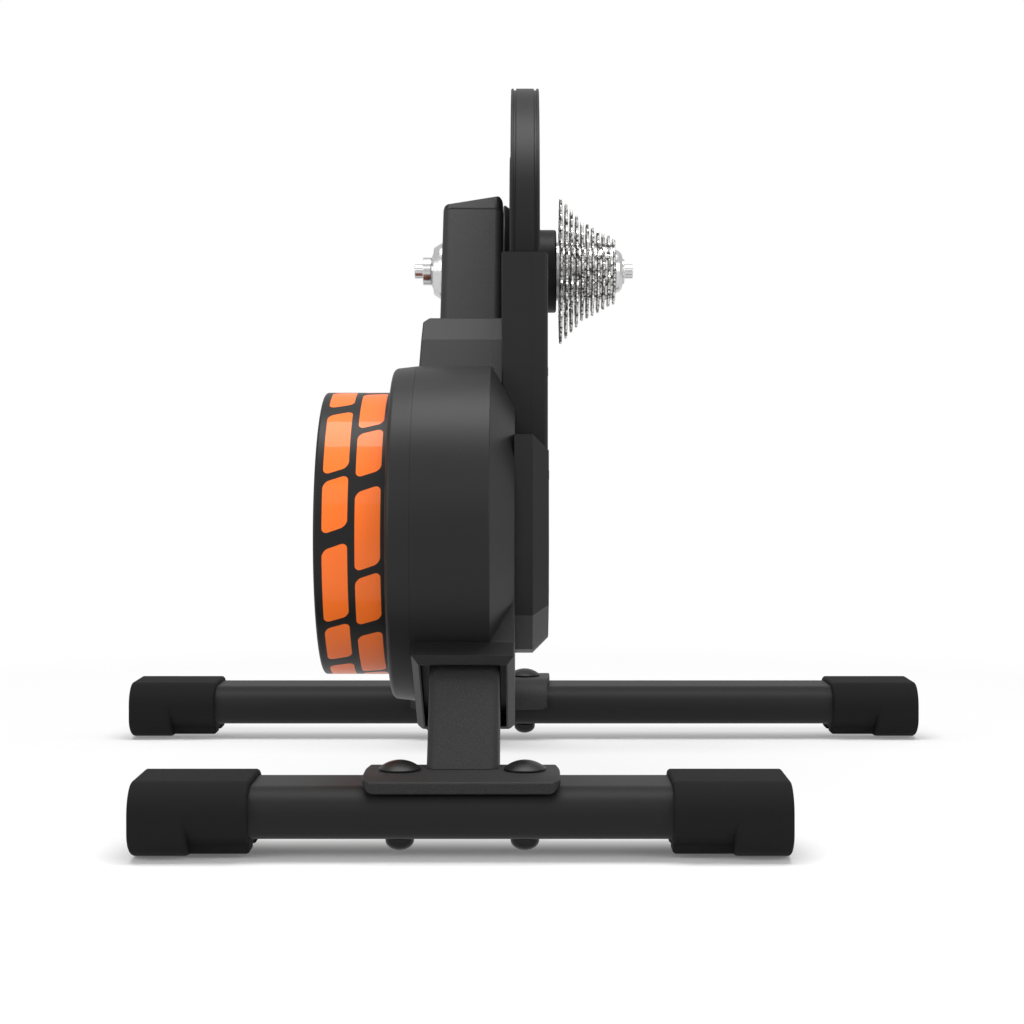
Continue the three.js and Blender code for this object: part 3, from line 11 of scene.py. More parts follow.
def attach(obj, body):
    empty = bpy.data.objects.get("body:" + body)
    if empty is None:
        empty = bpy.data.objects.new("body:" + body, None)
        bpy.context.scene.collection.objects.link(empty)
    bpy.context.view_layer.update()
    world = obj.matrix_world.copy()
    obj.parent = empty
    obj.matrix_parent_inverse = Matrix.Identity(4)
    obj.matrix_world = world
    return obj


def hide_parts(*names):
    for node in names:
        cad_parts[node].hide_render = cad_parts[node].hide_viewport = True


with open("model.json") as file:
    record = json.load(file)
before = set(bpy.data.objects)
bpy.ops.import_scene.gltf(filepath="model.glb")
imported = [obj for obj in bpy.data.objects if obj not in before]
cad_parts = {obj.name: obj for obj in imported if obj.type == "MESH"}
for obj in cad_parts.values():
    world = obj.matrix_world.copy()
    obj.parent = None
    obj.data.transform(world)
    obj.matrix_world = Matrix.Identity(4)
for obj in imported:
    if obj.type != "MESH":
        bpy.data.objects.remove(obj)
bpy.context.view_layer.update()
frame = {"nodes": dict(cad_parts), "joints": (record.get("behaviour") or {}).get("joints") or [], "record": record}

CAD = frame["nodes"]
HINGES = {joint["name"]: Vector(joint["pos_m"]) for joint in frame["joints"]}

# Sizes in millimetres, as in the model
MM = 0.001
FIT = 0.3
SEAM = 0.02
FAR = 430
AXLE = HINGES["drive_pulley_spin"] / MM
SHAFT = HINGES["flywheel_spin"] / MM
SHAFT_DROP = 217.8
TOWER_X = -35.5
TOWER_WIDTH, TOWER_DEPTH, TOWER_CORNER, TOWER_WALL = 42, 70, 6, 3
TOWER_TOP, TOWER_FOOT, TOWER_SEAT = 27.5, 18, 42.8
STRUT_DEPTH, STRUT_SEAT = 50, 31.5
TUBE_REACH = 504
LEG_SPACING = 463
LEG_DEPTH, LEG_HEIGHT, LEG_WALL, LEG_BOTTOM, LEG_RISE = 66, 32, 2.5, 9, 2
LEG_MIDDLE = LEG_BOTTOM + LEG_HEIGHT / 2
SADDLE_THICKNESS = 5.7
SADDLE_TOP = LEG_BOTTOM + LEG_HEIGHT + FIT + SADDLE_THICKNESS
LEAN = math.atan2(AXLE.y + LEG_SPACING / 2 - TOWER_SEAT, AXLE.z - SADDLE_TOP)
FLYWHEEL_LEFT, FLYWHEEL_RIGHT, FLYWHEEL_RADIUS = -126.8, -80.3, 90.4
DRUM_LEFT, DRUM_RIGHT, DRUM_RADIUS = -68.1, -5.6, 107.4
HOUSING_SPLIT, HOUSING_WALL = -20.5, 3
QUARTER = math.pi / 2
STRAIGHT = math.radians(176)


# Outlines in a plane
def arc(radius, start, end, steps, u=0.0, v=0.0):
    """Points from one angle to another on a circle"""
    angles = (start + (end - start) * i / steps for i in range(steps + 1))
    return [(u + radius * math.cos(a), v + radius * math.sin(a)) for a in angles]


def circle(radius, steps):
    return arc(radius, 0, 2 * math.pi, steps)[:-1]


def rectangle(left, right, low, high):
    return [(left, low), (right, low), (right, high), (left, high)]


def rounded_rectangle(width, height, radius, steps):
    u, v = width / 2 - radius, height / 2 - radius
    corners = [(u, v), (-u, v), (-u, -v), (u, -v)]
    return [p for i, c in enumerate(corners) for p in arc(radius, i * QUARTER, (i + 1) * QUARTER, steps, *c)]


def shifted(points, du):
    return [(u + du, v) for u, v in points]


def mirrored(points):
    """The points, and their mirror image on the way back"""
    return points + [(-u, v) for u, v in points[::-1]]


def softened(points, radius, steps=4):
    """Rounds each corner of a closed outline; a point's third number is its own radius"""
    loop = []
    for i, (u, v, *own) in enumerate(points):
        here = Vector((u, v))
        before = Vector(points[i - 1][:2]) - here
        after = Vector(points[(i + 1) % len(points)][:2]) - here
        size = own[0] if own else radius
        opening = before.angle(after)
        if size == 0 or opening > STRAIGHT:
            loop.append((u, v))
            continue
        reach = min(size / math.tan(opening / 2), 0.49 * before.length, 0.49 * after.length)
        size = reach * math.tan(opening / 2)
        middle = (before.normalized() + after.normalized()).normalized()
        centre = here + middle * (size / math.sin(opening / 2))
        first = here + before.normalized() * reach - centre
        last = here + after.normalized() * reach - centre
        turn = math.atan2(first.x * last.y - first.y * last.x, first.dot(last))
        start = math.atan2(first.y, first.x)
        loop += arc(size, start, start + turn, steps, *centre)
    return loop


def area(loop):
    return sum(a[0] * b[1] - b[0] * a[1] for a, b in zip(loop, loop[1:] + loop[:1])) / 2


def without_doubles(loop):
    return [p for i, p in enumerate(loop) if math.dist(p, loop[i - 1]) > 1e-4]


def inset(loop, depth):
    """The loop moved into the material on its left"""
    moved = []
    for i, here in enumerate(loop):
        before, after = Vector(loop[i - 1]), Vector(loop[(i + 1) % len(loop)])
        first = (Vector(here) - before).normalized()
        second = (after - Vector(here)).normalized()
        normals = Vector((first.y, -first.x)), Vector((second.y, -second.x))
        reach = depth / max(0.3, 1 + normals[0].dot(normals[1]))
        moved.append(tuple(Vector(here) - (normals[0] + normals[1]) * reach))
    return moved


# Meshes from outlines
ALONG = {
    "X": Matrix(((0, 0, 1, 0), (1, 0, 0, 0), (0, 1, 0, 0), (0, 0, 0, 1))),
    "Y": Matrix(((1, 0, 0, 0), (0, 0, -1, 0), (0, 1, 0, 0), (0, 0, 0, 1))),
    "Z": Matrix.Identity(4),
}


def at(x, y, z, turn_x=0.0, turn_z=0.0):
    """A place in millimetres, turned about X and Z"""
    turned_place = Matrix.Rotation(turn_z, 4, "Z") @ Matrix.Rotation(turn_x, 4, "X")
    return Matrix.Translation(Vector((x, y, z)) * MM) @ turned_place


ORIGIN = Matrix.Identity(4)
TOWER = at(TOWER_X, AXLE.y, AXLE.z, -LEAN)
STRUT = at(TOWER_X, LEG_SPACING / 2 - STRUT_SEAT, SADDLE_TOP, LEAN)
REAR = at(TOWER_X, -LEG_SPACING / 2, 0)
FRONT = at(0, LEG_SPACING / 2, 0, 0, math.pi)
FRONT_AT_TOWER = at(TOWER_X, LEG_SPACING / 2, 0, 0, math.pi)
AXLE_LINE = at(0, AXLE.y, AXLE.z)
SHAFT_LINE = at(0, SHAFT.y, SHAFT.z)


def linked(name, data):
    thing = bpy.data.objects.new(name, data)
    bpy.context.scene.collection.objects.link(thing)
    return thing


def mesh_from(points, faces, place):
    """A mesh from points in millimetres"""
    mesh = bpy.data.meshes.new("body")
    mesh.from_pydata([Vector(p) * MM for p in points], [], faces)
    mesh.transform(place)
    return mesh


def body_from(vertices, faces, place):
    """A closed piece from points in millimetres"""
    mesh = mesh_from(vertices, faces, place)
    work = bmesh.new()
    work.from_mesh(mesh)
    bmesh.ops.remove_doubles(work, verts=work.verts, dist=1e-6)
    bmesh.ops.recalc_face_normals(work, faces=work.faces)
    work.to_mesh(mesh)
    work.free()
    return linked("body", mesh)


def plate(outline, low, high, along="Z", edge=(0, 0), holes=(), place=ORIGIN, steps=3):
    """An outline run along an axis, its two rims rounded by the edge sizes"""
    if along == "Y":
        low, high, edge = -high, -low, edge[::-1]
    loops = []
    for wanted, points in [(1, outline), *((-1, hole) for hole in holes)]:
        loop = without_doubles([tuple(p[:2]) for p in points])
        loops.append(loop if area(loop) * wanted > 0 else loop[::-1])
    sections = []
    for size, height, side in ((edge[0], low, 1), (edge[1], high, -1)):
        angles = [QUARTER * i / steps for i in range(steps + 1)] if size else [QUARTER]
        rims = [(size * (1 - math.sin(a)), height + side * size * (1 - math.cos(a))) for a in angles]
        sections += rims if side == 1 else rims[::-1]
    vertices, faces, caps = [], [], {0: [], len(sections) - 1: []}
    for loop in loops:
        count, first = len(loop), len(vertices)
        for level, (depth, height) in enumerate(sections):
            ring = inset(loop, depth) if depth else loop
            vertices += [(u, v, height) for u, v in ring]
            start = first + level * count
            if level in caps:
                caps[level].append(range(start, start + count))
            if level:
                below = start - count
                faces += [(below + i, below + (i + 1) % count, start + (i + 1) % count, start + i)
                          for i in range(count)]
    for rings in caps.values():
        order = [i for ring in rings for i in ring]
        flat = [[Vector((*vertices[i][:2], 0)) for i in ring] for ring in rings]
        faces += [tuple(order[i] for i in face) for face in tessellate_polygon(flat)]
    return body_from(vertices, faces, place @ ALONG[along])


def turned(profile, steps=96, place=ORIGIN, along="X"):
    """A profile of (place along the axis, radius) spun round the axis"""
    vertices, rings = [], []
    sign = -1 if along == "Y" else 1
    for height, radius in ((sign * height, radius) for height, radius, *_ in profile):
        first = len(vertices)
        if radius < 1e-6:
            vertices.append((0, 0, height))
            rings.append([first] * steps)
        else:
            vertices += [(u, v, height) for u, v in circle(radius, steps)]
            rings.append(list(range(first, first + steps)))
    faces = []
    for ring, following in zip(rings, rings[1:] + rings[:1]):
        for i in range(steps):
            corners = dict.fromkeys((ring[i], ring[i - 1], following[i - 1], following[i]))
            if len(corners) > 2:
                faces.append(tuple(corners))
    return body_from(vertices, faces, place @ ALONG[along])


def rod(radius, left, right, edge=0, steps=64, place=ORIGIN, along="X"):
    profile = softened([(left, 0, 0), (left, radius), (right, radius), (right, 0, 0)], edge, 3)
    return turned(profile, steps, place, along)


def block(left, right, near, far, bottom, top, place=ORIGIN):
    return plate(rectangle(left, right, near, far), bottom, top, place=place)


def baked(piece):
    """Turns a piece's modifiers into plain mesh"""
    graph = bpy.context.evaluated_depsgraph_get()
    mesh = bpy.data.meshes.new_from_object(piece.evaluated_get(graph))
    piece.modifiers.clear()
    piece.data = mesh
    return piece


def combined(operation, base, *others):
    """Joins, cuts or intersects a piece with others, which are used up"""
    for other in others:
        modifier = base.modifiers.new("combine", "BOOLEAN")
        modifier.operation, modifier.solver, modifier.object = operation, "EXACT", other
        baked(base)
        bpy.data.objects.remove(other)
    return base


fused = partial(combined, "UNION")
cut = partial(combined, "DIFFERENCE")
within = partial(combined, "INTERSECT")


def gathered(*parts):
    """One piece from bodies that may overlap"""
    with bpy.context.temp_override(active_object=parts[0], selected_editable_objects=list(parts)):
        bpy.ops.object.join()
    return parts[0]


# Node trees, written as sums of sockets
class Value:
    """One socket that can stand in a sum"""

    def __init__(self, net, socket):
        self.net = net
        self.socket = socket

    def output(self, name):
        return Value(self.net, self.socket.node.outputs[name])

    def computed(self, operation, *others):
        return self.net.add("ShaderNodeMath", dict(enumerate((self, *others))), operation=operation)

    __add__ = partialmethod(computed, "ADD")
    __mul__ = partialmethod(computed, "MULTIPLY")
    __sub__ = partialmethod(computed, "SUBTRACT")
    __truediv__ = partialmethod(computed, "DIVIDE")
    power = partialmethod(computed, "POWER")
    sine = partialmethod(computed, "SINE")
    size = partialmethod(computed, "ABSOLUTE")
    whole = partialmethod(computed, "FLOOR")
    part = partialmethod(computed, "FRACT")
    angle_over = partialmethod(computed, "ARCTAN2")
    at_least = partialmethod(computed, "MAXIMUM")
    at_most = partialmethod(computed, "MINIMUM")

    def __rsub__(self, other):
        return (self * -1) + other

    def between(self, low, high):
        """0 below low, 1 above high, smooth between"""
        return self.net.add("ShaderNodeMapRange", {"Value": self, "From Min": low, "From Max": high},
                            interpolation_type="SMOOTHSTEP")

    def spread(self, low, high):
        """From low to high as the value runs from 0 to 1"""
        return self.net.add("ShaderNodeMapRange", {"Value": self, "To Min": low, "To Max": high})


class Net:
    """Adds nodes to a tree, with links or values for their sockets"""

    def __init__(self, tree):
        self.tree = tree

    def add(self, kind, inputs=None, output=0, **settings):
        node = self.tree.nodes.new(kind)
        for name, value in settings.items():
            setattr(node, name, value)
        for name, value in (inputs or {}).items():
            if isinstance(value, Value):
                self.tree.links.new(value.socket, node.inputs[name])
            else:
                node.inputs[name].default_value = value
        return Value(self, node.outputs[output]) if node.outputs else None

    def close(self, result, kind="ShaderNodeOutputMaterial"):
        """Ends the tree, in place of any end it had"""
        for node in [node for node in self.tree.nodes if node.bl_idname == kind]:
            self.tree.nodes.remove(node)
        self.add(kind, {0: result})

    def sight(self):
        """Whether a ray is the camera's, and whether it is mirrored or refracted"""
        path = self.add("ShaderNodeLightPath")
        return path, path.output("Is Glossy Ray").at_least(path.output("Is Transmission Ray"))


def grey(level, tint=(1.0, 1.0, 1.0)):
    return (*(level * t for t in tint), 1.0)


class Finish(Net):
    """A material for one slot of the model, on the piece's own coordinates"""

    def __init__(self, slot, metallic=0.0, coat=0.0, specular=0.5, ior=1.5):
        self.slot = slot
        self.material = bpy.data.materials.new(slot)
        self.material.use_nodes = True
        super().__init__(self.material.node_tree)
        self.tree.nodes.clear()
        shine = {"Metallic": metallic, "Coat Weight": coat, "Specular IOR Level": specular, "IOR": ior}
        self.surface = self.add("ShaderNodeBsdfPrincipled", shine)
        self.close(self.surface)
        self.place = self.add("ShaderNodeTexCoord", output="Object")

    def split(self):
        x = self.add("ShaderNodeSeparateXYZ", {0: self.place})
        return x, x.output("Y"), x.output("Z")

    def noise(self, scale, detail=2.0, vector=None):
        return self.add("ShaderNodeTexNoise",
                        {"Vector": vector or self.place, "Scale": scale, "Detail": detail})

    def streaks(self, u, v):
        """Noise drawn out along two measures"""
        return self.noise(1.0, 3.0, self.add("ShaderNodeCombineXYZ", {0: u, 1: v}))

    def waves(self, pitch):
        """Ridges across X, a number of millimetres apart"""
        return (self.split()[0] * (2 * math.pi / (pitch * MM))).sine()

    def cells(self, scale):
        return self.add("ShaderNodeTexVoronoi", {"Vector": self.place, "Scale": scale})

    def mix(self, amount, first, second):
        return self.add("ShaderNodeMix", {0: amount, 6: first, 7: second}, 2, data_type="RGBA")

    def set(self, name, value):
        self.tree.links.new(value.socket, self.surface.socket.node.inputs[name])

    def dressed(self, colour, roughness, height, depth):
        """Sets colour, roughness and a relief, its depth in millimetres"""
        self.set("Base Color", colour)
        self.set("Roughness", roughness)
        self.set("Normal", self.add("ShaderNodeBump", {"Height": height, "Distance": depth * MM}))
        return self

    def about(self, centre):
        """Place along, radius and angle about an X axis, in millimetres"""
        x, y, z = self.split()
        y, z = y / MM - centre.y, z / MM - centre.z
        return x / MM, (y * y + z * z).power(0.5), z.angle_over(y)


def moulded(slot, level, roughness, grain, depth):
    """Injection-moulded plastic with a spark-eroded skin"""
    finish = Finish(slot, specular=0.3, ior=1.4)
    cloud, skin = finish.noise(14.0, 3.0), finish.noise(grain)
    colour = finish.mix(cloud, grey(level * 0.86, (1, 1, 1.02)), grey(level * 1.14, (1, 1, 1.03)))
    return finish.dressed(colour, (skin * 0.1 + cloud * 0.06) + (roughness - 0.08), skin, depth)


def powder_coated(slot, level, roughness):
    """Grainy powder coat with small raised specks"""
    finish = Finish(slot, specular=0.35, ior=1.4)
    grain, peel = finish.noise(1500.0), finish.noise(420.0, 1.0)
    specks = finish.cells(1100.0).between(0.62, 0.8)
    colour = finish.mix(grain.between(0.35, 0.7), grey(level * 0.7), grey(level * 1.35))
    height = grain * 0.6 + peel * 0.3 + specks * 0.1
    return finish.dressed(colour, grain.spread(roughness - 0.08, roughness + 0.1), height, 0.18)


def painted(slot, level, roughness):
    """Satin paint with a slight orange peel"""
    finish = Finish(slot, specular=0.35, ior=1.3)
    peel, dust = finish.noise(260.0, 1.0), finish.noise(1900.0, 1.0)
    colour = finish.mix(finish.noise(9.0), grey(level * 0.9), grey(level * 1.12))
    height = peel * 0.5 + dust * 0.5
    return finish.dressed(colour, dust.spread(roughness - 0.05, roughness + 0.06), height, 0.06)


def foot_rubber():
    """Matt rubber, scuffed a little paler towards the floor"""
    finish = Finish("foot_rubber", specular=0.15, ior=1.3)
    height = finish.split()[2]
    scuff = finish.noise(230.0, 4.0).between(0.5, 0.75) * (1 - height.between(0.0, 12 * MM))
    skin = finish.noise(1300.0)
    colour = finish.mix(scuff * 0.3, grey(0.012), grey(0.03))
    return finish.dressed(colour, skin.spread(0.68, 0.82) + scuff * 0.1, skin, 0.05)


def black_steel():
    finish = Finish("black_steel", metallic=0.75)
    spots = finish.noise(700.0, 3.0)
    return finish.dressed(finish.mix(spots, grey(0.012), grey(0.032)), spots.spread(0.34, 0.5), spots, 0.04)


def turned_metal(slot, level, roughness, tint=(1.0, 1.0, 1.0)):
    """Bare metal with the fine rings of a lathe about the hub axle"""
    finish = Finish(slot, metallic=1.0)
    x, radius, _ = finish.about(AXLE)
    rings, smears = finish.streaks(x * 3.0, radius * 3.0), finish.noise(90.0, 3.0)
    colour = finish.mix(smears, grey(level * 0.85, tint), grey(level, tint))
    rough = rings.spread(roughness - 0.05, roughness + 0.1) + smears * 0.06
    return finish.dressed(colour, rough, rings, 0.05)


def sprocket_steel():
    """Plated steel, streaked round the teeth and spotted with grey"""
    finish = Finish("sprocket_steel", metallic=1.0)
    _, radius, angle = finish.about(AXLE)
    # Random speckles of dark grey over the plate, a little rougher than the rest
    streaks, dark_speckles = finish.streaks(radius * 0.5, angle * 34.0), finish.noise(420.0, 3.0).between(0.44, 0.64)
    colour = finish.mix(dark_speckles, grey(0.68, (1, 0.99, 0.98)), grey(0.06, (1, 0.98, 0.95)))
    return finish.dressed(colour, streaks.spread(0.16, 0.34) + dark_speckles * 0.12, streaks, 0.04)


def flywheel_paint():
    """Black paint with rows of slanted bars round the rim"""
    finish = Finish("flywheel_paint", specular=0.25, ior=1.4)
    x, radius, angle = finish.about(SHAFT)
    rows_left, row_width, row_shift, bar_width = FLYWHEEL_LEFT + 3.2, 19.8, 0.37, 15.4
    period, slant, corner, blur = 94.67, 0.35, 4.0, 0.12
    along = x - rows_left
    row = (along / row_width).whole()
    across = along - (row + 0.5) * row_width
    around = angle * FLYWHEEL_RADIUS + row * (period * row_shift) + across * slant
    turn = (around / period).part() * period
    masks = []
    for middle, length in ((28.0, 48.0), (73.0, 32.0)):
        u = (turn - middle).size() - (length / 2 - corner)
        v = across.size() - (bar_width / 2 - corner)
        outside = (u.at_least(0.0).power(2.0) + v.at_least(0.0).power(2.0)).power(0.5)
        inside = u.at_least(v).at_most(0.0)
        masks.append(1 - (outside + inside).between(corner - blur, corner + blur))
    rim = radius.between(88.9, 89.3) * x.between(-124.2, -123.9) * (1 - x.between(-83.5, -83.3))
    bars = masks[0].at_least(masks[1]) * rim
    peel, cloud = finish.noise(300.0, 1.0), finish.noise(30.0)
    orange = finish.mix(cloud, (1.0, 0.195, 0.022, 1.0), (1.0, 0.17, 0.016, 1.0))
    finish.set("Coat Weight", bars * 0.3)
    return finish.dressed(finish.mix(bars, grey(0.012), orange), cloud.spread(0.36, 0.44) + bars * 0.06,
                          peel * 0.5 + bars * 0.5, 0.08)


def belt_rubber():
    finish = Finish("belt_rubber")
    dust = finish.noise(600.0, 3.0)
    colour = finish.mix(dust, grey(0.008), grey(0.02))
    return finish.dressed(colour, dust.spread(0.6, 0.8), finish.waves(1.8), 0.3)


def copper_winding():
    finish = Finish("copper", metallic=0.9)
    dirt = finish.noise(300.0, 3.0)
    colour = finish.mix(dirt, (0.42, 0.13, 0.04, 1.0), (0.6, 0.24, 0.09, 1.0))
    return finish.dressed(colour, dirt.spread(0.25, 0.4), finish.waves(0.8), 0.3)


def circuit_board():
    finish = Finish("board_green", coat=0.4)
    tracks = finish.cells(260.0).between(0.5, 0.56)
    colour = finish.mix(tracks, (0.012, 0.11, 0.03, 1.0), (0.05, 0.22, 0.08, 1.0))
    return finish.dressed(colour, finish.noise(900.0).spread(0.3, 0.45), tracks, 0.05)


FINISHES = {
    finish.slot: finish
    for finish in (
        powder_coated("powder_coat", 0.018, 0.56),
        painted("leg_paint", 0.011, 0.5),
        moulded("case_plastic", 0.014, 0.43, 1900.0, 0.05),
        moulded("handle_plastic", 0.0045, 0.44, 2300.0, 0.03),
        foot_rubber(),
        black_steel(),
        turned_metal("bright_steel", 0.64, 0.18),
        sprocket_steel(),
        flywheel_paint(),
        turned_metal("aluminium", 0.66, 0.28, (1.0, 1.0, 1.02)),
        belt_rubber(),
        copper_winding(),
        circuit_board(),
        moulded("inlet_plastic", 0.006, 0.5, 1500.0, 0.04),
    )
}


# Node trees that repeat a shape
def shape_tree(name, sizes):
    """An empty Geometry Nodes tree with named inputs, and its net"""
    tree = bpy.data.node_groups.new(name, "GeometryNodeTree")
    tree.interface.new_socket("Geometry", in_out="INPUT", socket_type="NodeSocketGeometry")
    for label, kind in sizes.items():
        tree.interface.new_socket(label, in_out="INPUT", socket_type=f"NodeSocket{kind}")
    tree.interface.new_socket("Geometry", in_out="OUTPUT", socket_type="NodeSocketGeometry")
    net = Net(tree)
    return tree, net, net.add("NodeGroupInput")


def close_tree(net, shape, finish):
    """Realizes the copies, gives them their finish and ends the tree"""
    plain = net.add("GeometryNodeRealizeInstances", {"Geometry": shape})
    coated = net.add("GeometryNodeSetMaterial", {"Geometry": plain, "Material": finish})
    net.close(coated, "NodeGroupOutput")


def ring_tree():
    """Copies of one shape, evenly round an X axis through a centre"""
    tree, net, given = shape_tree("repeat_round", {"Count": "Int", "Centre": "Vector", "Finish": "Material"})
    centre, count = given.output("Centre"), given.output("Count")
    back = net.add("ShaderNodeVectorMath", {0: centre, "Scale": -1.0}, operation="SCALE")
    sector = net.add("GeometryNodeTransform", {"Geometry": given, "Translation": back})
    points = net.add("GeometryNodePoints", {"Count": count, "Position": centre})
    step = net.add("GeometryNodeInputIndex") * (2 * math.pi) / count
    turn = net.add("ShaderNodeCombineXYZ", {"X": step})
    copies = net.add("GeometryNodeInstanceOnPoints",
                     {"Points": points, "Instance": sector, "Rotation": turn})
    plain = net.add("GeometryNodeRealizeInstances", {"Geometry": copies})
    merged = net.add("GeometryNodeMergeByDistance", {"Geometry": plain, "Distance": 0.00001})
    close_tree(net, merged, given.output("Finish"))
    return tree


def places_tree():
    """Copies of one object on the corners of a guide, such as screws"""
    tree, net, given = shape_tree("repeat_at_places", {"Shape": "Object", "Finish": "Material"})
    shape = net.add("GeometryNodeObjectInfo", {"Object": given.output("Shape")}, output="Geometry")
    copies = net.add("GeometryNodeInstanceOnPoints", {"Points": given, "Instance": shape})
    close_tree(net, copies, given.output("Finish"))
    return tree


def repeated(piece, tree, **sizes):
    """Runs a tree on a piece and keeps the result as plain mesh"""
    modifier = piece.modifiers.new("repeat", "NODES")
    modifier.node_group = tree
    sockets = {item.name: item.identifier for item in tree.interface.items_tree if item.in_out == "INPUT"}
    for name, value in sizes.items():
        modifier[sockets[name]] = value
    return baked(piece)


RING = ring_tree()
PLACES = places_tree()


def moved(piece, place):
    piece.data.transform(place)
    return piece


def finished(name, piece, slot, *nodes, body="frame", crease=38):
    """Names a piece, shades and coats it, and sets it on its body in place of CAD nodes"""
    piece.name = piece.data.name = name
    piece.data.polygons.foreach_set("use_smooth", [True] * len(piece.data.polygons))
    piece.data.set_sharp_from_angle(angle=math.radians(crease))
    weighted = piece.modifiers.new("weighted", "WEIGHTED_NORMAL")
    weighted.keep_sharp = True
    baked(piece)
    piece.data.materials.clear()
    piece.data.materials.append(FINISHES[slot].material)
    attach(piece, body)
    if nodes:
        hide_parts(*nodes)


# Stands: leg tubes, feet, saddles and their fasteners
def leg_section(grow):
    """Flat-sided oval, flatter below than above"""
    top, bottom, half = LEG_HEIGHT / 2, LEG_HEIGHT / 2 - LEG_RISE, LEG_DEPTH / 2
    corners = ((top, half - top), (top, top - half), (bottom, bottom - half), (bottom, half - bottom))
    return [p for i, (radius, u) in enumerate(corners)
            for p in arc(radius + grow, i * QUARTER, (i + 1) * QUARTER, 12, u, LEG_MIDDLE)]


def leg_tube(span):
    end_wall, rim = 5, 0.4
    half = span / 2 - end_wall
    return plate(leg_section(0), -half, half, "X", (rim, rim), [leg_section(-LEG_WALL)])


def foot():
    """An oval sole at the tip and a raised heel, with a channel between"""
    corner, side, height = 17.2, 19.8, 27
    flat, width, depth = 9, 28, 17
    edge, keel, keel_height, waist = 3, 21, 5.8, 8.5
    sole = [(width * u - flat, depth * v + depth) for u, v in arc(1, 2 * QUARTER, 3 * QUARTER, 14)]
    pad_top = arc(corner, 0, QUARTER, 12, side, height) + arc(corner, QUARTER, 2 * QUARTER, 12, -side, height)
    heel_outline = [*arc(edge, 2 * QUARTER, 3 * QUARTER, 5, -keel, keel_height),
                    *arc(edge, 3 * QUARTER, 4 * QUARTER, 5, keel, keel_height), (keel + edge, waist),
                    *arc(corner, -QUARTER / 2, QUARTER, 14, side, height),
                    *arc(corner, QUARTER, 2.5 * QUARTER, 14, -side, height), (-keel - edge, waist)]
    pad = plate(pad_top + mirrored(sole), 0, 33, "X", (1.6, 3), steps=4)
    heel = plate(heel_outline, 16.5, 67.5, "X", (0, 2), steps=4)
    socket, channel = plate(leg_section(FIT), 4.7, 90, "X"), block(33.6, 80, -8.5, 8.5, -1, 6.4)
    return cut(fused(pad, heel), socket, channel)


def saddle(middle):
    """A plate bent over the leg, with rounded corners"""
    inner, reach, half, corner, rim = LEG_HEIGHT / 2 + FIT, (LEG_DEPTH - LEG_HEIGHT) / 2, 56.4, 9, 0.8
    outer, flange, lip_bottom = inner + SADDLE_THICKNESS, 24.4, 37.9
    flange_angle, lip_angle, side_top = 0.12, 1.4 * QUARTER, 70
    outline = [(reach + inner, flange), (reach + outer, flange)]
    outline += arc(outer, flange_angle, QUARTER, 10, reach, LEG_MIDDLE)
    lip = [(-18, outer + LEG_MIDDLE, 0), (-32.2, 45), (-31.2, 38.1), (-27, lip_bottom, 0)]
    outline += softened(lip, 1.4, 5) + arc(inner, lip_angle, QUARTER, 6, -reach, LEG_MIDDLE)
    outline += arc(inner, QUARTER, flange_angle, 10, reach, LEG_MIDDLE)
    body = plate(outline, middle - half, middle + half, "X", (rim, rim))
    limits = []
    for low, near, far, wider in ((lip_bottom, -70, -17, 0), (flange, -18, 71, 0.4)):
        side_view = [(half + wider, side_top + wider)]
        side_view += arc(corner, 0, -QUARTER, 8, half + wider - corner, low + corner)
        limits.append(plate(shifted(mirrored(side_view), middle), near, far, "Y"))
    waist = half - 2.4
    plan = [(waist, 60), (waist, 20), (half, 1)]
    plan += arc(corner, 0, -QUARTER, 8, half - corner, corner - LEG_DEPTH / 2)
    return within(body, fused(*limits), plate(shifted(mirrored(plan), middle), 10, 60))


def leg_bolt():
    seat, head, shank, end, bevel = SADDLE_TOP + FIT, 12.2, 5, 4.8, 0.3
    rim, top = seat + 0.9, seat + 5.5
    dome = (head ** 2 + (top - rim) ** 2) / (2 * (top - rim))
    spread = math.asin(head / dome)
    crown = [(v, u) for u, v in arc(dome, QUARTER - spread, QUARTER, 9, 0, top - dome)][:-1]
    underside = [(end, 0), (end, shank), (seat, shank), (seat, head - bevel), (seat + bevel, head)]
    return turned([*underside, *crown, (top, 0)], 64, along="Z")


def cap_nut():
    top, skirt, low, radius, thread, end, bevel = LEG_BOTTOM - FIT, 6.7, 0.8, 8.35, 5.3, 4.5, 0.4
    crown = [(skirt - (skirt - low) * v, radius * u) for u, v in arc(1, 0, QUARTER, 9)][:-1]
    upper = [(end, 0), (end, thread), (top, thread), (top, radius - bevel), (top - bevel, radius)]
    return turned([*upper, *crown, (low, 0)], 48, along="Z")


def dress_stand(label, place, span, middle, sides):
    bolt_reach = 36.2
    finished(f"{label}_leg", moved(leg_tube(span), place), "leg_paint", f"{label}_leg_tube")
    finished(f"{label}_leg_saddle", moved(saddle(middle), place), "powder_coat", f"{label}_saddle")
    for end, side in zip((-1, 1), sides):
        cover = moved(foot(), place @ at(end * span / 2, 0, 0, 0, (1 + end) * QUARTER))
        finished(f"{label}_rubber_foot_{side}", cover, "foot_rubber", f"{label}_foot_{side}")
    for end, side in zip((-1, 1), sides):
        spot = place @ at(middle + end * bolt_reach, 0, 0)
        for name, shape, node in (("domed_bolt", leg_bolt, "leg_bolt"), ("cap_nut", cap_nut, "leg_nut")):
            finished(f"{label}_{name}_{side}", moved(shape(), spot), "black_steel", f"{label}_{node}_{side}")


dress_stand("rear", REAR, 375, 0, ("left", "right"))
dress_stand("front", FRONT, 626, -TOWER_X, ("right", "left"))


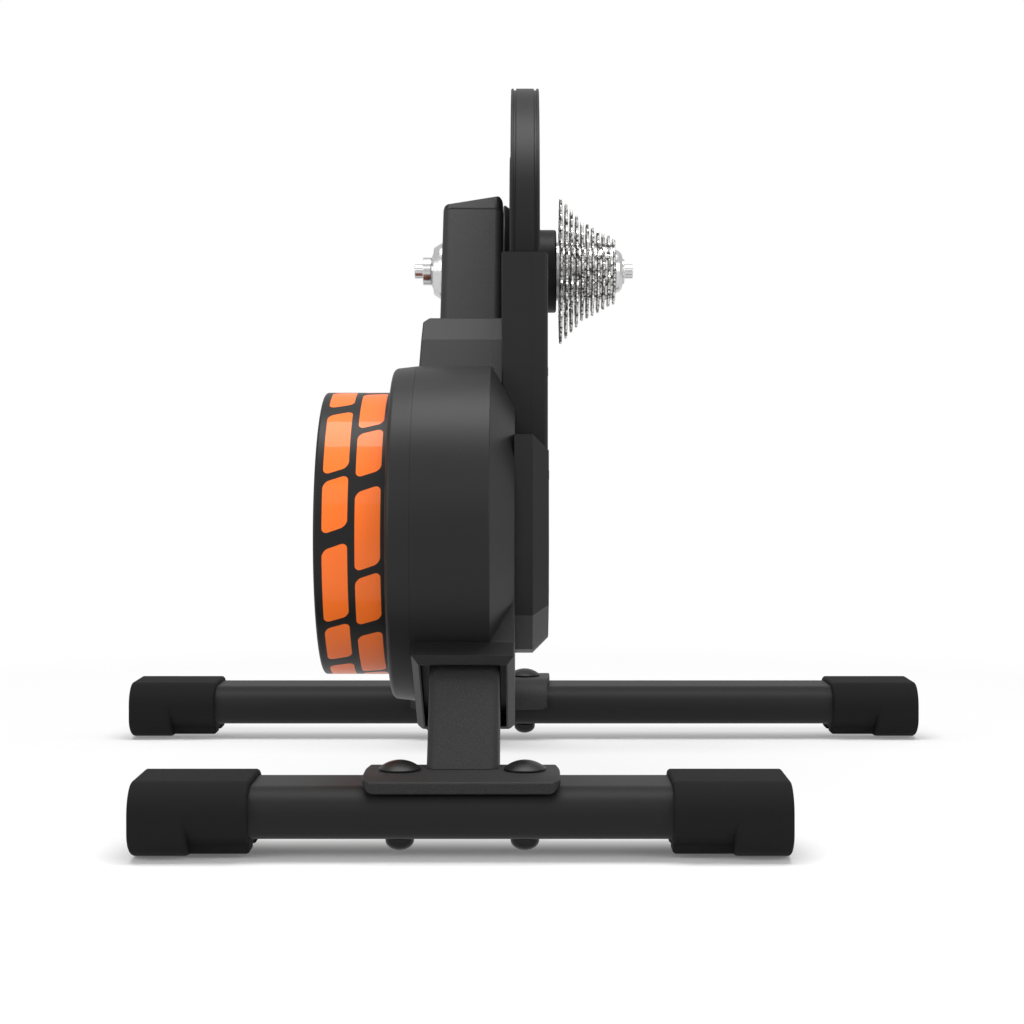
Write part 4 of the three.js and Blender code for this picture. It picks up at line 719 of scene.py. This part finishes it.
# Tower, strut and cap
def seat_tools(place):
    """What the saddle and the floor take off the foot of a tube"""
    half, clear, out, deep = 114.8, 2 * FIT + SADDLE_THICKNESS, 136, 463
    leg = plate(leg_section(clear), -half, half, "X", place=place)
    outside = block(-half, half, -out, LEG_DEPTH / 2 + clear, -deep, LEG_MIDDLE, place)
    below = block(-half, half, -out - 1, 2 * out, -deep - 1, TOWER_FOOT, place)
    return leg, outside, below


def tube_section(depth, grow, steps):
    return rounded_rectangle(TOWER_WIDTH + 2 * grow, depth + 2 * grow, TOWER_CORNER + grow, steps)


def square_tube(depth, low, high, place):
    holes = [tube_section(depth, -TOWER_WALL, 6)]
    return plate(tube_section(depth, 0, 8), low, high, holes=holes, place=place)


def main_tube():
    tube = square_tube(TOWER_DEPTH, -TUBE_REACH, TOWER_TOP, TOWER)
    bores = [rod(radius, -30, 30, place=TOWER @ at(0, 0, -drop))
             for radius, drop in ((8.8, 0), (17.8, SHAFT_DROP))]
    return cut(tube, *bores, *seat_tools(REAR))


def front_strut():
    tube = square_tube(STRUT_DEPTH, -111, TUBE_REACH, STRUT)
    near = -TUBE_REACH - TOWER_DEPTH / 2
    behind = block(-TOWER_WIDTH, TOWER_WIDTH, near, TOWER_DEPTH / 2 + FIT, -TUBE_REACH, TUBE_REACH, TOWER)
    return cut(tube, behind, *seat_tools(FRONT_AT_TOWER))


def tower_cap():
    """A cap whose top slopes down to the left"""
    half, rim, over = TOWER_WIDTH / 2, 1.2, 9
    seat, low, high = TOWER_TOP + SEAM, TOWER_TOP + 4.6, TOWER_TOP + 13.6
    outline = softened([(-half, seat, 0), (half, seat, 0), (half, high, 4), (-half, low, 4)], 0, 8)
    crown = plate(outline, -TOWER_DEPTH / 2, TOWER_DEPTH / 2, "Y", (rim, rim))
    return moved(within(crown, plate(tube_section(TOWER_DEPTH, 0, 8), seat - over, high + over)), TOWER)


finished("tower_tube", main_tube(), "powder_coat", "main_tube")
finished("strut_tube", front_strut(), "powder_coat", "front_strut")
finished("tower_end_cap", tower_cap(), "case_plastic", "tower_cap")


# Hub axle line
def axle_flange():
    bore, right = 8.8, TOWER_X - TOWER_WIDTH / 2 - FIT
    step, left = right - 6.56, right - 8.2
    profile = [(right, bore, 0), (right, 20.2), (right - 2.05, 19.4), (step, 16.5), (step, 13.5, 0.2),
               (left, 10), (left, bore, 0)]
    return turned(softened(profile, 0.5), place=AXLE_LINE)


def end_cap(radius, seat, side):
    """A shouldered cap with the stub that the bike's dropout sits on"""
    tip, shoulder, stub, bore, plug, inside = 77, 71, 5, 3.2, 5.3, seat - 12
    profile = [(tip, bore, 0.2), (tip, stub, 0.6), (shoulder, stub, 0.3), (shoulder, radius),
               (seat, radius, 0.3), (seat, plug, 0), (inside, plug, 0), (inside, bore, 0)]
    return turned([(side * x, r) for x, r in softened(profile, 0.5)], 64, AXLE_LINE)


def lockring():
    seat, bore, thread = 64.6, 9.4, 12.6
    inside, face = seat - 5, seat + 5.2
    profile = [(inside, bore, 0), (face, bore, 0.3), (face, 9.9, 0.2), (seat + 4.4, 12.5),
               (seat + 2.6, 14.35), (seat, 15.6, 0.3), (seat, thread, 0), (inside, thread, 0)]
    return turned(softened(profile, 0.5), place=AXLE_LINE)


finished("axle_shoulder", axle_flange(), "bright_steel", "axle_flange")
finished("left_stub", end_cap(9.8, 65.3, -1), "bright_steel", "left_end_cap")
finished("right_stub", end_cap(8.8, 65.6, 1), "bright_steel", "right_end_cap")
finished("lockring", lockring(), "bright_steel", "cassette_lockring", body="cassette_group")


# Cassette: every sprocket is one tooth repeated round the axle, on a ring or on arms
TEETH = (25, 23, 21, 19, 17, 16, 15, 14, 13, 12, 11)
CHAIN_PITCH, ROLLER_SEAT = 12.7, 3.9
CASSETTE_LEFT, SPROCKET_SPACING, HALF_SPROCKET, SPROCKET_BORE = 26, 3.74, 0.9, 17.6


def pitch_radius(teeth):
    return CHAIN_PITCH / 2 / math.sin(math.pi / teeth)


def tooth_sector(teeth, inner, x):
    """One tooth with half a roller seat on each side, its tip thinned"""
    step, pitch, bevel, half_tip = 2 * math.pi / teeth, pitch_radius(teeth), 0.7, 0.55
    seat = [(pitch - ROLLER_SEAT * math.cos(a), ROLLER_SEAT * math.sin(a)) for a in (0, 0.3, 0.6, 0.9, 1.15)]
    half = [(math.atan2(v, u), math.hypot(u, v)) for u, v in seat]
    half += [(step * 0.44, pitch + 0.75), (step * 0.475, pitch + 0.9)]
    outline = half + [(step - a, r) for a, r in half[::-1]]
    vertices, faces, count = [], [], len(outline)
    edge = [r for _, r in outline]
    layers = [([inner] * count, HALF_SPROCKET), ([r - bevel for r in edge], HALF_SPROCKET), (edge, half_tip)]
    for side in (-1, 1):
        for radii, half_width in layers:
            vertices += [(x + side * half_width, r * math.cos(a), r * math.sin(a))
                         for (a, _), r in zip(outline, radii)]
    for i in range(count - 1):
        for near, far in ((0, 1), (1, 2), (3, 4), (4, 5), (2, 5), (0, 3)):
            first, second = near * count + i, far * count + i
            faces.append((first, first + 1, second + 1, second))
    return body_from(vertices, faces, AXLE_LINE)


def sprocket_arm(x, inner, outer):
    low, high, narrow, wide, half = inner - 1, outer + 1.5, 2.6, 4.2, 0.7
    arm = [(low, -narrow), (high, -wide), (high, wide), (low, narrow)]
    web = plate(arm, x - half, x + half, "X", (0.2, 0.2))
    rivet = rod(1.7, x - 1.3, x + 1.3, 0.4, 20, at(0, (inner + outer) / 2, 0))
    return moved(gathered(web, rivet), AXLE_LINE)


def sprocket(teeth, x, last):
    """Teeth on the hub or, where arms have room, on a ring round a spider"""
    inner, hub, arms, shortest_arm, spacer = SPROCKET_BORE, 22.6, 5, 4.5, 2.54
    ring = pitch_radius(teeth) - ROLLER_SEAT - 3.6
    settings = {"Centre": AXLE * MM, "Finish": FINISHES["sprocket_steel"].material}
    parts = []
    if ring - hub > shortest_arm:
        inner = ring
        centre = rectangle(x - HALF_SPROCKET, x + HALF_SPROCKET, SPROCKET_BORE, hub)
        parts.append(repeated(sprocket_arm(x, hub, ring), RING, Count=arms, **settings))
        parts.append(turned(softened(centre, 0.2), 72, AXLE_LINE))
    parts.append(repeated(tooth_sector(teeth, inner, x), RING, Count=teeth, **settings))
    if not last:
        parts.append(turned(rectangle(x, x + spacer, SPROCKET_BORE, 20), 64, AXLE_LINE))
    return gathered(*parts)


for index, teeth in enumerate(TEETH):
    cog = sprocket(teeth, CASSETTE_LEFT + SPROCKET_SPACING * index, teeth == TEETH[-1])
    finished(f"cog_{teeth}_teeth", cog, "sprocket_steel", f"sprocket_{teeth}t",
             body="cassette_group", crease=30)


# Flywheel line
def flywheel():
    left, right, bore, hub, rim, outer = FLYWHEEL_LEFT, FLYWHEEL_RIGHT, 7.8, 22, 68.4, FLYWHEEL_RADIUS
    groove, boss, near_web, far_web = left + 0.8, left + 8.8, left + 14.8, left + 26.8
    profile = [(boss, bore, 0), (right, bore, 0), (right, hub), (far_web, hub + 2, 3), (far_web, rim - 2, 3),
               (right, rim), (right, outer, 1.8), (left, outer, 1.8), (left, 76, 0.5), (groove, 75.4, 0.3),
               (groove, 73.6, 0.3), (left, 73, 0.5), (left, rim + 2, 1.5), (near_web, rim - 2, 3),
               (near_web, hub + 2, 3), (boss, hub, 1.2)]
    return turned(softened(profile, 1), 144, SHAFT_LINE)


def flywheel_shaft():
    nut_left, nut_right, nut_radius = -124.3, -118.3, 13
    core = rod(7.5, nut_left - 1.5, 8.3, 0.6, place=SHAFT_LINE)
    nut = plate(circle(nut_radius, 6), nut_left, nut_right, "X", (0.9, 0.4), place=SHAFT_LINE)
    return gathered(core, nut)


def guard_ring():
    left, right, inner, outer = -83, DRUM_LEFT - 2 * SEAM, 93.5, 105.7
    wall = HOUSING_WALL
    profile = [(left, inner, 0.6), (left, outer, 3.5), (right, DRUM_RADIUS, 0.1),
               (right, DRUM_RADIUS - wall, 0.2), (left + wall, outer - wall, 1), (left + wall, inner, 0.6)]
    return turned(softened(profile, 0.5, 6), 144, SHAFT_LINE)


finished("flywheel_disc", flywheel(), "flywheel_paint", "flywheel", body="flywheel_group")
finished("flywheel_shaft_and_nut", flywheel_shaft(), "bright_steel", "flywheel_shaft", body="flywheel_group")
finished("flywheel_guard", guard_ring(), "case_plastic", "guard_ring")


# Main housing and belt case, drawn about the flywheel shaft
CASE_LEFT, CASE_LOWER_LEFT, CASE_PARTING, CASE_RIGHT, CASE_WALL = -14.2, -5.8, 5, 15.6, 2.5
CASE_TOP_RADIUS, CASE_FOOT_RADIUS, CASE_FACET = 129.4, 77, 10
HUMP_RADIUS, HUMP_LEFT, HUMP_RIGHT = 80, -9.7, 10.2
COLLAR_TOP, COLLAR_SHOULDER, COLLAR_WIDTH, COLLAR_FLARE = -69.2, -91, 53, 0.035
BOOT_MOUTH, MOUTH_LEFT, MOUTH_RIGHT, MOUTH_NEAR = -336, -27.3, 25.8, -41.3
INLET_X = -43
AXLE_Y, AXLE_Z = AXLE.y - SHAFT.y, AXLE.z - SHAFT.z


def drum(shrink, left, right):
    outer, cone, edge = DRUM_RADIUS - shrink, 27, 1.2
    profile = [(left, 0, 0), (left, outer, 0.1), (HOUSING_SPLIT, outer, edge), (right, outer - cone, edge),
               (right, 0, 0)]
    return turned(softened(profile, 0), 120)


def on_tower(piece):
    """Moves a piece drawn about the tower into the shaft's frame"""
    return moved(piece, SHAFT_LINE.inverted() @ TOWER)


def collar(shrink, edge):
    """The box between drum and tower, its left side flared towards the bottom"""
    left, right, near, top = 21 - COLLAR_WIDTH + shrink, 21, 39.6 - shrink, COLLAR_TOP - shrink
    lip, bevel = min(35.5, near), 5
    side = [(-near, -SHAFT_DROP), (near, -SHAFT_DROP), (near, COLLAR_SHOULDER), (lip, top), (-lip, top),
            (-near, COLLAR_SHOULDER)]
    front = [(left, -SHAFT_DROP), (right, -SHAFT_DROP), (right, top), (left + bevel, top),
             (left, top - bevel)]
    shape = plate(softened(side, 1.4 * edge, 8), left, right, "X", (edge, 0), steps=7)
    shape = within(shape, plate(front, -near - 6, near + 6, "Y"))
    for corner in shape.data.vertices:
        drop = max(0, top * MM - corner.co.z)
        corner.co.x -= COLLAR_FLARE * drop * (right * MM - corner.co.x) / (COLLAR_WIDTH * MM)
    return on_tower(shape)


def boot_taper():
    """What the boot's walls keep within, sloped round its mouth"""
    far, slope, height, top = 90, 21, 20, -100
    rings = [[(MOUTH_LEFT - out, MOUTH_NEAR - out, z), (MOUTH_RIGHT + out, MOUTH_NEAR - out, z),
              (MOUTH_RIGHT + out, far, z), (MOUTH_LEFT - out, far, z)]
             for z, out in ((BOOT_MOUTH, 0), (BOOT_MOUTH + height, slope), (top, slope))]
    faces = [(0, 1, 2, 3), (11, 10, 9, 8)]
    faces += [(k + i, k + (i + 1) % 4, k + 4 + (i + 1) % 4, k + 4 + i) for k in (0, 4) for i in range(4)]
    return body_from(sum(rings, []), faces, ORIGIN)


def boot(shrink, edge):
    left, right, near, back, corner = shrink - 31.5, 30 - shrink, 45.5 - shrink, shrink - 37.3, 1.5
    side = [(-near, BOOT_MOUTH), (near - corner, BOOT_MOUTH), (near, BOOT_MOUTH + corner),
            (near, -SHAFT_DROP), (back, -SHAFT_DROP), (back, -318.5), (-near, -332)]
    shape = plate(softened(side, 1.4 * edge, 8), left, right, "X", (edge, edge), steps=7)
    limit = block(-60, 60, -100, 100, -323, 0) if shrink else boot_taper()
    return on_tower(within(shape, limit))


def boot_recess():
    """The step inside the frame of the boot's mouth"""
    near = MOUTH_NEAR + 1
    return on_tower(block(MOUTH_LEFT + 1, MOUTH_RIGHT - 1, near, -near, -340, -327))


def passages():
    """What the tower and the strut take out of the housing"""
    into_shaft = SHAFT_LINE.inverted()
    strut = rounded_rectangle(TOWER_WIDTH + 1, STRUT_DEPTH + 4 * FIT, TOWER_CORNER + 2 * FIT, 6)
    return (plate(tube_section(TOWER_DEPTH, FIT, 6), -TUBE_REACH, TOWER_TOP, place=into_shaft @ TOWER),
            plate(strut, 3, TUBE_REACH, place=into_shaft @ STRUT))


def housing_shell():
    """Drum, collar and boot as one wall, before they are split"""
    wall, edge = HOUSING_WALL, 1.2
    outer = fused(drum(0, DRUM_LEFT, DRUM_RIGHT), collar(0, edge), boot(0, edge))
    hollow = fused(drum(wall, DRUM_LEFT - 6, DRUM_RIGHT - CASE_WALL), collar(wall, 0), boot(wall, 0))
    return cut(outer, hollow, boot_recess(), *passages())


def copied(piece):
    return linked("copy", piece.data.copy())


def slab(left, right):
    """Everything between two places across the trainer"""
    return block(left, right, -FAR, FAR, -FAR, FAR)


SHELL = housing_shell()


def main_housing():
    left_part = within(copied(SHELL), slab(-FAR, HOUSING_SPLIT - SEAM))
    inlet_hole = rod(6.3, 80, 115, place=at(INLET_X, 0, 0), along="Y")
    return moved(cut(left_part, inlet_hole), SHAFT_LINE)


def case_tangent():
    """The angle at which a straight line touches both arcs of the case"""
    return -QUARTER - LEAN + math.acos((CASE_TOP_RADIUS - CASE_FOOT_RADIUS) / SHAFT_DROP)


def upper_outline(depth):
    radius, low, tangent = CASE_TOP_RADIUS - depth, CASE_FOOT_RADIUS - depth, case_tangent()
    near, top, end = AXLE_Y - radius, AXLE_Z + 2 - depth, -14 / radius
    points = [(near, -low / 2), (low * math.cos(tangent), low * math.sin(tangent))]
    points += arc(radius, tangent, end, 24, AXLE_Y, AXLE_Z)
    return points + [(AXLE_Y + radius, top), (near, top)]


def lower_outline(depth):
    radius, front, ledge, lean = (size - depth for size in (CASE_FOOT_RADIUS, 70, 63.5, 63))
    tangent, knee, heel, heel_turn = case_tangent(), -9, -48, math.radians(20)
    far_angle = tangent + QUARTER / 2
    points = [(-front, knee), (-radius * math.cos(math.asin(heel / CASE_FOOT_RADIUS)), heel)]
    points += arc(radius, -QUARTER - heel_turn, tangent, 10)
    points += arc(radius, far_angle, far_angle + QUARTER / 2, 5)
    return points + [(radius / 2, ledge), (-lean, ledge)]


def about_axle(piece):
    return moved(piece, at(0, AXLE_Y, AXLE_Z))


def chamber():
    left, lower_left, right = CASE_LEFT + CASE_WALL, -3.2, CASE_RIGHT - CASE_WALL
    upper = plate(upper_outline(CASE_WALL), left, right, "X")
    lower = plate(lower_outline(CASE_WALL), lower_left, right, "X", (0, CASE_FACET), steps=1)
    hump = rod(HUMP_RADIUS - CASE_WALL, HUMP_LEFT + CASE_WALL, HUMP_RIGHT - CASE_WALL, 0, 96)
    return fused(upper, lower, about_axle(hump))


def case_cut(solid, *others):
    """Opens a half of the case"""
    return cut(solid, chamber(), *(about_axle(socket) for socket in tenons(FIT, 6)), *others)


def tenons(grow, top):
    """The blocks that seat the handle or, grown, their sockets, about the axle"""
    left, right, inner, outer, low = -8 - grow, 8.5 + grow, 114.5 - grow, 125.5 + grow, -13.7 - grow
    return [block(left, right, near, far, low, top) for near, far in ((-outer, -inner), (inner, outer))]


def case_inner():
    right = CASE_PARTING - SEAM
    shell = within(copied(SHELL), slab(HOUSING_SPLIT + SEAM, FAR))
    upper = plate(upper_outline(0), CASE_LEFT, right + 3, "X", (1, 0))
    lower = plate(lower_outline(0), CASE_LOWER_LEFT, right + 2, "X")
    cone_profile = softened([(CASE_LEFT, 0, 0), (CASE_LEFT, 47.4), (-9.55, 43.8, 0), (-9.55, 0, 0)], 1)
    hump = about_axle(rod(HUMP_RADIUS, HUMP_LEFT, right + 1, 0, 120))
    solid = fused(shell, upper, lower, about_axle(turned(cone_profile, 96)), hump)
    whole = case_cut(solid)
    holes = about_axle(rod(9.1, -60, 0)), rod(21.5, -60, 0)
    return moved(cut(within(whole, slab(-FAR, right)), *holes), SHAFT_LINE)


def case_outer():
    left = CASE_PARTING + SEAM
    behind, boss_radius, face = left - 8, 29.2, 22.8
    upper = plate(upper_outline(0), behind, CASE_RIGHT, "X", (0, 2))
    lower = plate(lower_outline(0), behind, CASE_RIGHT, "X", (0, CASE_FACET), steps=1)
    boss_profile = [(left, 0, 0), (left, boss_radius, 0), (face, boss_radius), (face, 0, 0)]
    boss = about_axle(turned(softened(boss_profile, 1.5), 96))
    hump = about_axle(rod(HUMP_RADIUS, behind, HUMP_RIGHT, 0.8, 120))
    whole = within(fused(upper, lower, boss, hump), slab(left, FAR))
    bore = about_axle(rod(24, -60, 60, 0, 72))
    return moved(case_cut(whole, bore), SHAFT_LINE)


for name, shape, node in (("drum_housing", main_housing, "main_housing"),
                          ("belt_case_back", case_inner, "belt_case_inner"),
                          ("belt_case_front", case_outer, "belt_case_outer")):
    finished(name, shape(), "case_plastic", node, crease=14)
bpy.data.objects.remove(SHELL)


# Case screws, repeated at their places
def screw():
    """A countersunk screw with a hexagon socket, its face just proud of X = 0"""
    tip, face, shank, head = -1.5, 0.25, 1.6, 3.2
    body = turned(softened([(tip, 0, 0), (tip, shank, 0), (face, head), (face, 0, 0)], 0.15, 3), 32)
    return cut(body, plate(circle(1.45, 6), -0.9, 1, "X"))


def case_screws():
    reach = 120
    ring = arc(reach, math.radians(-50), math.radians(-8), 2, AXLE_Y, AXLE_Z)
    near = [(AXLE_Y - reach, AXLE_Z - drop) for drop in (12, 75)]
    low = [(-34, -34), (28, -34), (-46, 38)]
    places = linked("places", mesh_from([(CASE_RIGHT, y, z) for y, z in ring + near + low], [], SHAFT_LINE))
    shape = screw()
    screws = repeated(places, PLACES, Shape=shape, Finish=FINISHES["black_steel"].material)
    bpy.data.objects.remove(shape)
    return screws


finished("case_screws", case_screws(), "black_steel")


# Carry handle: one grooved section swept round the axle, on two tenons
def carry_handle():
    left, right, inner, outer, groove, steps = -8.7, 10.5, 111.5, 127.4, 1.2, 96
    section = []
    for radius, deep, flip in ((outer, outer - groove, 1), (inner, inner + groove, -1)):
        marks = [(left, radius, 0.9), (left + 1.8, radius, 0.4), (left + 1.8, deep, 0), (left + 3.4, deep, 0),
                 (left + 3.4, radius, 0.6)]
        marks += [(left + right - x, r, size) for x, r, size in marks[::-1]]
        section += marks[::flip]
    section = softened(section, 0, 3)
    start, count = math.asin(2.3 / 120), len(section)
    angles = [start + (math.pi - 2 * start) * i / steps for i in range(steps + 1)]
    vertices = [(x, r * math.cos(a), r * math.sin(a)) for a in angles for x, r in section]
    faces = [(row + i, row + (i + 1) % count, row + count + (i + 1) % count, row + count + i)
             for row in range(0, steps * count, count) for i in range(count)]
    faces += [tuple(range(count)), tuple(range(steps * count, len(vertices)))]
    arch = body_from(vertices, faces, AXLE_LINE)
    return gathered(arch, *(moved(tenon, AXLE_LINE) for tenon in tenons(0, 3.5)))


finished("handle", carry_handle(), "handle_plastic", "carry_handle")


# Power inlet on the far side of the drum
def power_inlet():
    near, tip, radius, socket, wall = 82.4, 108.4, 6, 3.2, 0.3
    line = SHAFT_LINE @ at(INLET_X, 0, 0)
    profile = [(near, 0, 0), (near, radius, 0), (tip, radius), (tip, socket, 0.3), (near + wall, socket, 0),
               (near + wall, 0, 0)]
    nose = turned(softened(profile, 0.6), 64, line, "Y")
    pin = rod(1, near, tip - 3, 0.4, 24, line, "Y")
    body = block(INLET_X - 7, INLET_X + 7, 80.6, near + 12, -5.5, 5.5, SHAFT_LINE)
    return gathered(nose, pin, body)


finished("power_socket", power_inlet(), "inlet_plastic", "power_inlet")


# Pieces inside keep their CAD shape and take their finish
SLOTS = {entry["node"]: entry["material_slot"] for entry in frame["record"]["subparts"]}
for node, shape in CAD.items():
    for material_slot in shape.material_slots:
        material_slot.material = FINISHES[SLOTS[node]].material


# Floor, light and camera
def floor_finish():
    """A pale floor seen as white, but for a painted shadow band along each leg, where less white shows and the
    floor's lit shade and cast shadows come through darker
    """
    net = Finish("studio_floor")
    camera_ray, mirror_ray = net.sight()
    paper = net.noise(30.0)
    net.set("Base Color", net.mix(paper, grey(0.86), grey(0.88)))
    net.set("Roughness", paper.spread(0.85, 0.95))
    white = net.add("ShaderNodeEmission", {"Color": grey(1.0), "Strength": 1.0})
    # Painted shadow: the bands lie where the legs' shadows should fall and grey the floor there, on top of the
    # real cast shadows that show through them
    near_shadow_band, far_shadow_band, white_in_shadow_band, whiter = -0.25, 0.185, 0.12, 0.65
    x, y, _ = net.split()
    from_shadow_band = ((y - (near_shadow_band + far_shadow_band) / 2).size() - (far_shadow_band - near_shadow_band) / 2).size()
    white_by_shadow_bands = from_shadow_band.between(0.015, 0.07) * whiter + white_in_shadow_band
    away = (x * x + y * y).power(0.5).between(0.3, 1.0)
    share = (camera_ray * white_by_shadow_bands.at_least(away)).at_least(mirror_ray * 0.6)
    net.close(net.add("ShaderNodeMixShader", {0: share, 1: net.surface, 2: white}))
    return net.material


def floor():
    side, near, far = 60, -6, 90
    mesh = bpy.data.meshes.new("floor")
    mesh.from_pydata([(-side, near, 0), (side, near, 0), (side, far, 0), (-side, far, 0)], [], [(0, 1, 2, 3)])
    mesh.materials.append(floor_finish())
    linked("floor", mesh)


def studio_world():
    """White to the camera, mostly white in reflections, soft grey light on the object"""
    world = bpy.data.worlds.new("studio")
    world.use_nodes = True
    world.node_tree.nodes.clear()
    net = Net(world.node_tree)
    camera_ray, mirror_ray = net.sight()
    light, white = (net.add("ShaderNodeBackground", {"Color": grey(1.0), "Strength": strength})
                    for strength in (0.32, 1.0))
    share = camera_ray.at_least(mirror_ray * 0.65)
    net.close(net.add("ShaderNodeMixShader", {0: share, 1: light, 2: white}), "ShaderNodeOutputWorld")
    bpy.context.scene.world = world


def lamp(name, place, aim_height, width, height, power):
    """A softbox aimed at the object, in metres and watts"""
    data = bpy.data.lights.new(name, "AREA")
    data.shape = "RECTANGLE"
    data.size, data.size_y, data.energy = width, height, power
    light = linked(name, data)
    light.location = place
    light.rotation_euler = (Vector((0, 0, aim_height)) - Vector(place)).to_track_quat("-Z", "Y").to_euler()


def camera():
    """A level view from behind, framed by lens shift"""
    data = bpy.data.cameras.new("camera")
    data.lens, data.sensor_width = 70.31, 36
    data.shift_x, data.shift_y = -0.01143, -0.0703
    view = linked("camera", data)
    view.location = (0, -1.3885, 0.2378)
    view.rotation_euler = (QUARTER, 0, 0)
    bpy.context.scene.camera = view


floor()
studio_world()
lamp("overhead_softbox", (0, -0.15, 2.2), 0.2, 2.0, 1.0, 42)
lamp("front_softbox", (0, -2.4, 1.7), 0.2, 1.6, 0.8, 5)
lamp("left_softbox", (-2.0, -1.5, 1.1), 0.25, 1.4, 1.4, 20)
lamp("right_softbox", (2.0, -1.5, 1.1), 0.25, 1.4, 1.4, 20)
camera()
bpy.context.scene.view_settings.view_transform = "Standard"
